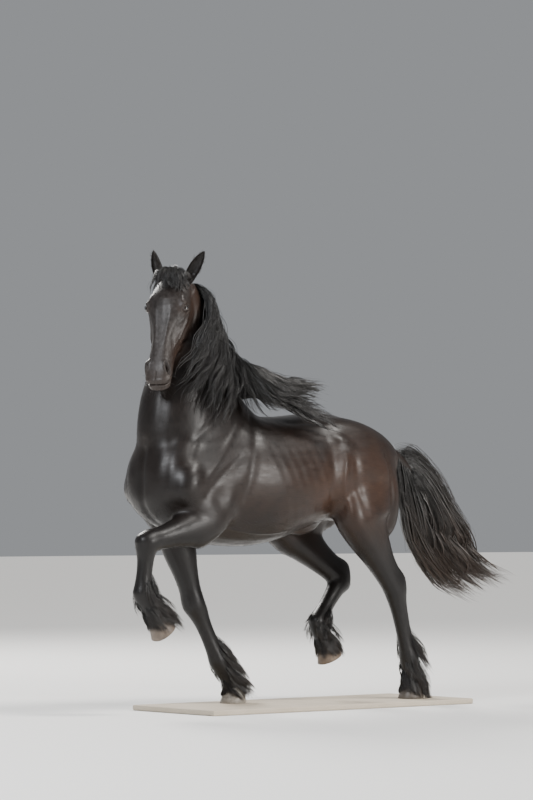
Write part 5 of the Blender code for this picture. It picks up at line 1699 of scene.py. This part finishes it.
def lid_rings(centre, axes, tree):
    """Rings of the lids from their margin out to the skin, and the ring that the lashes grow on."""
    rings = []
    margin = []
    for scale, lift, share in catmull(LID_RINGS, LID_RINGS_BETWEEN):
        ring = []
        for turn in np.linspace(0, 2 * math.pi, LID_SIDES, endpoint=False):
            along, up = lid_outline(turn, scale)
            out = math.hypot(along, up)
            angle = min(out / EYE_RADIUS, LID_WIDEST_ANGLE)
            spread = math.sin(angle) / max(out, 1e-9)
            local = np.array((math.cos(angle), along * spread, up * spread)) * (EYE_RADIUS + lift)
            point = centre + local @ axes
            if share > 0.0:
                start = centre + (np.array((0.0, along, up)) * LID_MARGIN) @ axes + axes[0] * LID_REACH
                hit = tree.ray_cast(Vector(start), Vector(-axes[0]), 2 * LID_REACH)[0]
                near = np.array(hit) if hit else point
                point = point * (1 - share) + (near + axes[0] * lift * 0.5) * share
            ring.append(point)
        rings.append(ring)
        if abs(scale - LID_MARGIN) < 0.02:
            margin = ring
    return rings, np.array(margin)


def build_eyes():
    """The balls, the lids that close round them, and the lashes."""
    tree = skin_tree()
    lashes = []
    for hand, name in ((1, "left"), (-1, "right")):
        rings, looks = ball_rings(hand)
        mesh = mesh_of_rings(f"eyeball_{name}", rings)
        look = mesh.attributes.new("look", "FLOAT_VECTOR", "POINT")
        look.data.foreach_set("vector", np.array(looks, np.float32).ravel())
        settled(object_of(f"eyeball_{name}", mesh, eye_material()), "eye", f"eye_{name}")
        centre, axes = eye_axes(hand)
        rings, margin = lid_rings(centre, axes, tree)
        mesh = mesh_of_rings(f"lids_{name}", rings, capped=False)
        lay_atlas(mesh)
        tones = skin_tones(positions(mesh))
        tones[:, 2] = LID_BARE
        set_tone(mesh, tones)
        settled(object_of(f"lids_{name}", mesh, coat_material()), "coat")
        lashes += lash_paths(hand, margin, axes)
    rng = np.random.default_rng(HAIR_SEED + 50)
    fine_hairs("lashes", np.array(lashes), LASH_RADIUS, (0.1, 0.2, 1.0), 0.1, rng)


def lid_outline(turn, scale):
    """A point of the almond between the lids, along the face and up, in metres over the ball."""
    along = math.cos(turn) * LID_HALF_LENGTH
    rise = math.sin(turn)
    up = (LID_UPPER if rise > 0 else LID_LOWER) * math.copysign(abs(rise) ** LID_ROUNDNESS, rise)
    longer, higher = LID_GROWTH
    grow = scale - 1.0
    return along * (1 + grow * longer), up + rise * grow * higher - LID_TILT * math.cos(turn)


def lash_paths(hand, margin, axes):
    """Lashes along the upper lid's edge, out and a little down."""
    rng = np.random.default_rng(HAIR_SEED + 40 + hand)
    made = []
    for _ in range(LASH_COUNT):
        place_on = rng.uniform(*LASH_SPAN) * LID_SIDES
        low = int(place_on)
        root = margin[low] * (1 - place_on % 1) + margin[(low + 1) % LID_SIDES] * (place_on % 1)
        lean = math.cos(2 * math.pi * place_on / LID_SIDES)
        reach = LASH_LENGTH * rng.uniform(0.6, 1.0)
        path = []
        for t in np.linspace(0, 1, FINE_POINTS):
            out = axes[0] * reach * t + axes[1] * reach * lean * LASH_LEAN * t
            droop = axes[2] * reach * (LASH_RISE * t - LASH_DROOP * t * t)
            path.append(root - axes[0] * FINE_ROOT_DEPTH + out + droop)
        made.append(path)
    return made


def ear_rings(hand):
    """Rings of a cupped ear from its root to its tip, in the head's frame."""
    aside = 1 if hand == "left" else -1
    base = np.array(mirrored(EAR_BASE, aside))
    tip = np.array(EAR_TIPS[hand])
    up = unit(tip - base)
    side = unit(np.cross(up, unit(np.array(EAR_OUT) * (aside, 1, 1))))
    front = np.cross(side, up)
    rings = []
    for share in np.linspace(EAR_ROOT, 1.0, EAR_RINGS):
        open_share = max(share, 0.0)
        width = EAR_WIDTH * (0.66 + 1.90 * open_share) * max(1.0 - open_share, 0.006) ** 0.8
        deep = EAR_DEPTH * width
        scoop = min(max((share - CUP_START) / CUP_SPAN, 0.0), 1.0)
        scoop = scoop * scoop * (3 - 2 * scoop)
        wall = min(EAR_WALL * 0.55, 0.30 * width)
        curl = EAR_CURL * width * scoop
        middle = base + (tip - base) * share + front * (EAR_BEND * math.sin(open_share * math.pi))
        ring = []
        for i in range(EAR_POINTS + 1):
            turn = math.pi * i / EAR_POINTS
            edge = abs(math.cos(turn)) ** 6 * curl
            across = side * (math.cos(turn) * (width - edge))
            ring.append(middle + across - front * (deep * math.sin(turn) - edge))
        for i in range(EAR_POINTS - 1, 0, -1):
            turn = math.pi * i / EAR_POINTS
            cup = (deep - wall) * math.sin(turn)
            bulge = -0.6 * deep * math.sin(turn)
            inward = bulge + (cup - bulge) * scoop
            ring.append(middle + side * ((width - wall) * math.cos(turn)) - front * inward)
        rings.append(ring)
    return np.array(rings), side, front, up


def build_ears():
    """Ears with thin rims and hair inside the cups."""
    paths = []
    for number, hand in enumerate(("left", "right")):
        rings, side, front, up = ear_rings(hand)
        mesh = mesh_of_rings(f"ear_{hand}_skin", moved(rings, head_frame()))
        lay_atlas(mesh)
        set_tone(mesh, np.tile((0.10, 0.06, 0.0), (len(mesh.vertices), 1)))
        settled(object_of(f"ear_{hand}_skin", mesh, coat_material()), "coat", f"ear_{hand}")
        rng = np.random.default_rng(HAIR_SEED + 60 + number)
        for _ in range(EAR_HAIRS):
            row = int(rng.uniform(0.16, 0.92) * EAR_RINGS)
            column = EAR_POINTS + 1 + int(rng.uniform(0.0, 0.999) * (EAR_POINTS - 1))
            near_edge = abs(column - EAR_POINTS * 1.5) / (EAR_POINTS * 0.5)
            root = rings[row, column]
            reach = rng.uniform(*EAR_HAIR_REACH) * (0.6 + 0.6 * near_edge)
            towards = unit(front * rng.uniform(0.5, 1.0) + up * rng.uniform(0.4, 1.0)
                           + side * rng.uniform(-0.5, 0.5))
            path = [root + towards * reach * t + up * reach * 0.4 * t * t - front * FINE_ROOT_DEPTH
                    for t in np.linspace(0, 1, FINE_POINTS)]
            paths.append(moved(np.array(path), head_frame()))
    rng = np.random.default_rng(HAIR_SEED + 62)
    fine_hairs("ear_hair", np.array(paths), EAR_HAIR_RADIUS, (0.1, 0.2, 1.0), 0.5, rng)


def build_hooves():
    """Hooves with growth rings, a coronet band and a hollow sole with its frog."""
    for name, joints in legs():
        top, sole = points_of(joints[4:])
        up = unit(top - sole)
        side = unit(np.array((1.0, 0, 0)) - up * up[0])
        ahead = np.cross(side, up)
        rings = [[sole + up * SOLE_HOLLOW for _ in range(HOOF_POINTS)]]
        for share, size in ((0.0, SOLE_INNER), *HOOF_RINGS):
            ring = []
            for i in range(HOOF_POINTS):
                turn = 2 * math.pi * i / HOOF_POINTS
                long = math.sin(turn) * HOOF_HALF_LENGTH * (1.0 if math.sin(turn) > 0 else 0.92)
                wide = math.copysign(abs(math.cos(turn)) ** 0.85, math.cos(turn)) * HOOF_HALF_WIDTH
                frog = max(0.0, 1.0 - abs(math.cos(turn)) * 3.2) * (math.sin(turn) < 0)
                hollow = 0.0
                if size == SOLE_INNER:
                    hollow = SOLE_HOLLOW * (1 - 0.8 * frog)
                elif share == 0 and size < SOLE_RIM:
                    hollow = SOLE_HOLLOW * 0.7
                height = HOOF_HEIGHT * share + hollow + HOOF_GAP
                ahead_by = HOOF_TOP_SHIFT * share + long * size
                ring.append(sole + up * height + ahead * ahead_by + side * (wide * size))
            rings.append(ring)
        mesh = mesh_of_rings(f"{name}_horn", rings)
        bm = bmesh.new()
        bm.from_mesh(mesh)
        bmesh.ops.remove_doubles(bm, verts=bm.verts, dist=SAME_POINT)
        bm.to_mesh(mesh)
        bm.free()
        points = positions(mesh)
        height = ((points - sole) @ up) / HOOF_HEIGHT
        tan, dark = HOOF_TONES[name]
        flat = np.ones(len(points))
        set_tone(mesh, np.stack((flat * tan, np.clip(height, 0, 1), flat * dark), axis=1))
        settled(object_of(f"{name}_horn", mesh, hoof_material()), "hoof", f"{name}_hoof")


def build_mane(strands):
    rows = [[tuple(place(*p)) for p in guide] for guide in MANE_GUIDES]
    dressed("mane", rows, strands, 1, HAIR_RADIUS, 0.06,
            locks=190, points=LONG_POINTS, width=0.022, depth=0.018, wave=0.022, wave_length=0.20,
            shortest=0.60, layer=0.050, stray=0.04, root_spread=1.2)


def build_tail(strands):
    rows = [[tuple(place(forward, 0, up)) for forward, up in guide] for guide in TAIL_GUIDES]
    dressed("tail_hair", rows, strands, 2, HAIR_RADIUS, 0.9,
            locks=170, points=LONG_POINTS, width=0.023, depth=0.060, wave=0.018, wave_length=0.32,
            shortest=0.62, layer=0.025, stray=0.015, root_spread=0.6)


def build_forelock(strands):
    dressed("forelock", FORELOCK_GUIDES, strands, 3, HAIR_RADIUS * FORELOCK_FINENESS, 0.10,
            locks=34, points=FORELOCK_POINTS, width=0.016, depth=0.012, wave=0.012, wave_length=0.11,
            shortest=0.55, layer=0.020, stray=0.03, root_spread=1.2, to_model=head_frame())


def feather_strand(bones, tree, high, swing, reach, flare, lean, wave):
    """One strand of feather: rooted on the cannon or pastern, down over the hoof and away from the leg."""
    along = high * FEATHER_SPAN
    on_cannon = along < 1.0
    bone = 2 if on_cannon else 3
    share = FEATHER_START + (1 - FEATHER_START) * along if on_cannon else (along - 1.0) / (FEATHER_SPAN - 1.0)
    a, b = bones[bone], bones[bone + 1]
    middle = a + (b - a) * share
    down = unit(b - a)
    side = unit(np.array((1.0, 0, 0)) - down * down[0])
    back = np.cross(side, down)
    out = back * math.cos(swing) + side * math.sin(swing)
    near, normal, _, _ = tree.find_nearest(Vector(middle + out * 0.06))
    near, normal = np.array(near), np.array(normal)
    t = np.linspace(0, 1, FEATHER_POINTS)[:, None]
    puff = normal * flare * np.sin(t * math.pi * 0.62)
    sway = side * np.sin(t * 5 + wave) * 0.008 * t + back * np.cos(t * 4 + wave) * 0.006 * t
    path = near - normal * 0.003 * (1 - t) + down * (reach * t) + puff + lean * t**2 * reach + sway
    return path, normal


def build_feathers(strands):
    """Feathers from mid cannon to hoof on each leg, longest behind and swept back by the trot."""
    tree = skin_tree()
    for number, (name, joints) in enumerate(legs()):
        rng = np.random.default_rng(HAIR_SEED + 10 + number)
        length, flare, drift = FEATHERS[name]
        bones = points_of(joints)
        lean = direction(*drift)
        clumps = strands // FEATHER_CLUMP
        high = rng.uniform(0.0, 1.0, clumps) ** 0.75
        spread = math.radians(FEATHER_TURN_DEG) + math.radians(FEATHER_TURN_MORE_DEG) * high
        swing = np.clip(rng.normal(0, 1.0, clumps), -2.4, 2.4) * spread
        ring = rng.uniform(0, 1, clumps) < FEATHER_RING
        high[ring] = rng.uniform(0.78, 1.0, ring.sum())
        swing[ring] = rng.uniform(-math.pi, math.pi, ring.sum())
        size = rng.uniform(0.75, 1.1, clumps)
        owner = np.sort(rng.integers(0, clumps, strands))
        paths = np.empty((strands, FEATHER_POINTS, 3))
        outs = np.empty((strands, 3))
        waves = rng.uniform(0, ANY_PHASE, clumps)
        for i, clump in enumerate(owner):
            own_high = min(max(high[clump] + rng.normal(0, 0.03), 0.0), 1.0)
            own_swing = swing[clump] + rng.normal(0, 0.12)
            behind = 0.5 + 0.5 * math.cos(own_swing)
            shorter = 1.0 - FEATHER_SHORTER * own_high
            reach = length * size[clump] * rng.uniform(0.7, 1.0) * (0.58 + 0.42 * behind) * shorter
            paths[i], outs[i] = feather_strand(bones, tree, own_high, own_swing, reach,
                                               flare * (0.25 + 0.75 * behind), lean * (0.3 + 0.7 * behind),
                                               waves[clump] + rng.normal(0, 0.25))
        paths[..., 2] = np.maximum(paths[..., 2], BASE_TOP + FEATHER_LIFT)
        paths = kept_clear(paths, tree, rng.uniform(0.002, 0.012, strands), FEATHER_ROOT_DEPTH)
        horn = tree_of(bpy.data.objects[f"{name}_horn"])
        paths = kept_clear(paths, horn, rng.uniform(0.003, 0.012, strands), None)
        paths[..., 2] = np.maximum(paths[..., 2], BASE_TOP + FEATHER_LIFT)
        radii = profile_radii(strands, FEATHER_POINTS, HAIR_RADIUS, rng)
        tones = hair_tones(strands, FEATHER_BROWN, rng, owner) * (1.0, FEATHER_SHEEN, 1.0)
        flat = np.full(strands, STRAND_FLATNESS)
        hair_pieces(f"feather_{name}", paths, radii, flat, outs, tones, hair_material(), "hair")


def build_coat(tufts):
    """Short tufts over the skin, lying with the coat, longest where they break the outline."""
    skin = bpy.data.objects["skin"]
    rng = np.random.default_rng(HAIR_SEED + 30)
    points, normals = positions(skin.data), normals_of(skin.data)
    up = points[:, 2] - BASE_TOP
    local = in_head(points)
    head = above_jaw(points)
    weight = np.where(head > 0.5, 0.0, TUFTS_ON_TRUNK)
    belly = (normals[:, 2] < -0.45) & (up > 0.80) & (head < 0.5)
    weight[belly] = TUFTS_ON_BELLY
    weight[(normals[:, 1] > 0.6) & (up < 1.2)] = TUFTS_BEHIND
    weight[(head > 0.5) & (local[:, 2] < -0.11) & (normals[:, 2] < -0.2)] = TUFTS_UNDER_JAW
    for hand in (1, -1):
        centre, _ = eye_axes(hand)
        weight[np.linalg.norm(points - centre, axis=1) < TUFTLESS_AT_EYE] = 0.0
    chosen = rng.choice(len(points), tufts, replace=False, p=weight / weight.sum())
    roots, out = points[chosen], normals[chosen]
    flow = np.tile(direction(*COAT_FLOW), (tufts, 1))
    flow[head[chosen] > 0.5] = np.array(head_frame())[:3, 1]
    flow[up[chosen] < LEG_FLOW_TOP] = LEG_FLOW
    flow += rng.normal(0, FLOW_SPREAD, flow.shape)
    flow = unit(flow - out * (flow * out).sum(axis=1, keepdims=True))
    reach = TUFT_LENGTH * rng.uniform(0.7, 1.3, tufts)
    reach[head[chosen] > 0.5] *= HEAD_TUFT_SHARE
    reach[belly[chosen]] *= BELLY_TUFT_SHARE
    t = np.linspace(0, 1, TUFT_POINTS)[None, :, None]
    lift = 0.18 * t * (1.3 - t) * reach[:, None, None]
    paths = roots[:, None] + flow[:, None] * reach[:, None, None] * t + out[:, None] * lift
    paths[:, 0] -= out * FINE_ROOT_DEPTH
    radii = profile_radii(tufts, TUFT_POINTS, TUFT_RADIUS, rng)
    tones = skin_tones(roots)
    flat = np.full(tufts, TUFT_FLATNESS)
    hair_pieces("short_coat", paths, radii, flat, out, tones, coat_material(), "coat")
    muzzle = np.flatnonzero((head > 0.5) & (local[:, 1] > 0.545) & (local[:, 2] < -0.035))
    build_whiskers(points[muzzle], normals[muzzle], rng)


def build_whiskers(points, normals, rng):
    """Single long hairs on the muzzle's points."""
    chosen = rng.choice(len(points), WHISKER_COUNT, replace=False)
    reach = rng.uniform(*WHISKER_REACH, WHISKER_COUNT)[:, None, None]
    t = np.linspace(0, 1, FINE_POINTS)[None, :, None]
    droop = np.array((0, 0, WHISKER_DROOP))
    paths = points[chosen][:, None] + normals[chosen][:, None] * reach * t + droop * reach * t * t
    fine_hairs("whiskers", paths, WHISKER_RADIUS, (0.3, 0.2, 0.9), 0.4, rng)


class HorseSettings(bpy.types.PropertyGroup):
    """How much hair the horse wears."""

    mane_strands: IntProperty(name="Mane strands", description="Strands in the mane", default=4600, min=100)
    tail_strands: IntProperty(name="Tail strands", description="Strands in the tail", default=3200, min=100)
    forelock_strands: IntProperty(name="Forelock strands", description="Strands in the forelock", default=900,
                                  min=50)
    feather_strands: IntProperty(name="Feather strands", description="Strands in each leg's feather",
                                 default=1700, min=50)
    coat_tufts: IntProperty(name="Coat tufts", description="Short tufts over the skin", default=9000, min=100)
    quick_share: FloatProperty(name="Quick share", description="Share of the strands in a quick render",
                               default=0.5, min=0.05, max=1.0, subtype="FACTOR")
    stand_colour: FloatVectorProperty(name="Stand colour", description="Colour of the stand's sand finish",
                                      default=STAND_SAND, subtype="COLOR", min=0.0, max=1.0)


def amount(name):
    settings = bpy.context.scene.horse_settings
    return round(getattr(settings, name) * (1.0))


class HORSE_OT_stage(bpy.types.Operator):
    """Add the floor, the lights and the camera"""

    bl_idname = "horse.stage"
    bl_label = "Stage"

    def execute(self, context):
        build_stage()
        return {"FINISHED"}


class HORSE_OT_stand(bpy.types.Operator):
    """Give the stand's base its sand finish"""

    bl_idname = "horse.stand"
    bl_label = "Stand"

    def execute(self, context):
        base = frame["nodes"]["stand_base"]
        base.data.materials.clear()
        base.data.materials.append(sand_material(tuple(context.scene.horse_settings.stand_colour)))
        return {"FINISHED"}


class HORSE_OT_skin(bpy.types.Operator):
    """Build the skin with its muscles, folds and face"""

    bl_idname = "horse.skin"
    bl_label = "Skin"

    def execute(self, context):
        build_skin()
        return {"FINISHED"}


class HORSE_OT_eyes(bpy.types.Operator):
    """Build the eyes with their lids and lashes"""

    bl_idname = "horse.eyes"
    bl_label = "Eyes"

    def execute(self, context):
        build_eyes()
        return {"FINISHED"}


class HORSE_OT_ears(bpy.types.Operator):
    """Build the ears and the hair in them"""

    bl_idname = "horse.ears"
    bl_label = "Ears"

    def execute(self, context):
        build_ears()
        return {"FINISHED"}


class HORSE_OT_hooves(bpy.types.Operator):
    """Build the four hooves"""

    bl_idname = "horse.hooves"
    bl_label = "Hooves"

    def execute(self, context):
        build_hooves()
        return {"FINISHED"}


class HORSE_OT_mane(bpy.types.Operator):
    """Grow the mane and the forelock"""

    bl_idname = "horse.mane"
    bl_label = "Mane and forelock"

    def execute(self, context):
        build_mane(amount("mane_strands"))
        build_forelock(amount("forelock_strands"))
        return {"FINISHED"}


class HORSE_OT_tail(bpy.types.Operator):
    """Grow the tail"""

    bl_idname = "horse.tail"
    bl_label = "Tail"

    def execute(self, context):
        build_tail(amount("tail_strands"))
        return {"FINISHED"}


class HORSE_OT_feathers(bpy.types.Operator):
    """Grow the feathers of the four legs"""

    bl_idname = "horse.feathers"
    bl_label = "Feathers"

    def execute(self, context):
        build_feathers(amount("feather_strands"))
        return {"FINISHED"}


class HORSE_OT_coat(bpy.types.Operator):
    """Lay the short coat's tufts and the whiskers"""

    bl_idname = "horse.coat"
    bl_label = "Short coat"

    def execute(self, context):
        build_coat(amount("coat_tufts"))
        return {"FINISHED"}


class HORSE_PT_panel(bpy.types.Panel):
    """Buttons for each step, with the amounts of hair."""

    bl_label = "Friesian horse"
    bl_idname = "HORSE_PT_panel"
    bl_space_type = "VIEW_3D"
    bl_region_type = "UI"
    bl_category = "Horse"

    def draw(self, context):
        settings = context.scene.horse_settings
        for name in HorseSettings.__annotations__:
            self.layout.prop(settings, name)
        for step in STEPS:
            self.layout.operator(step.bl_idname)


STEPS = (HORSE_OT_stage, HORSE_OT_stand, HORSE_OT_skin, HORSE_OT_eyes, HORSE_OT_ears, HORSE_OT_hooves,
         HORSE_OT_mane, HORSE_OT_tail, HORSE_OT_feathers, HORSE_OT_coat)
CLASSES = (HorseSettings, *STEPS, HORSE_PT_panel)


def register():
    for made in CLASSES:
        bpy.utils.register_class(made)
    bpy.types.Scene.horse_settings = PointerProperty(type=HorseSettings)


def unregister():
    del bpy.types.Scene.horse_settings
    for made in reversed(CLASSES):
        bpy.utils.unregister_class(made)


def main():
    register()
    for step in STEPS:
        group, name = step.bl_idname.split(".")
        getattr(getattr(bpy.ops, group), name)()


if __name__ == "__main__":
    main()
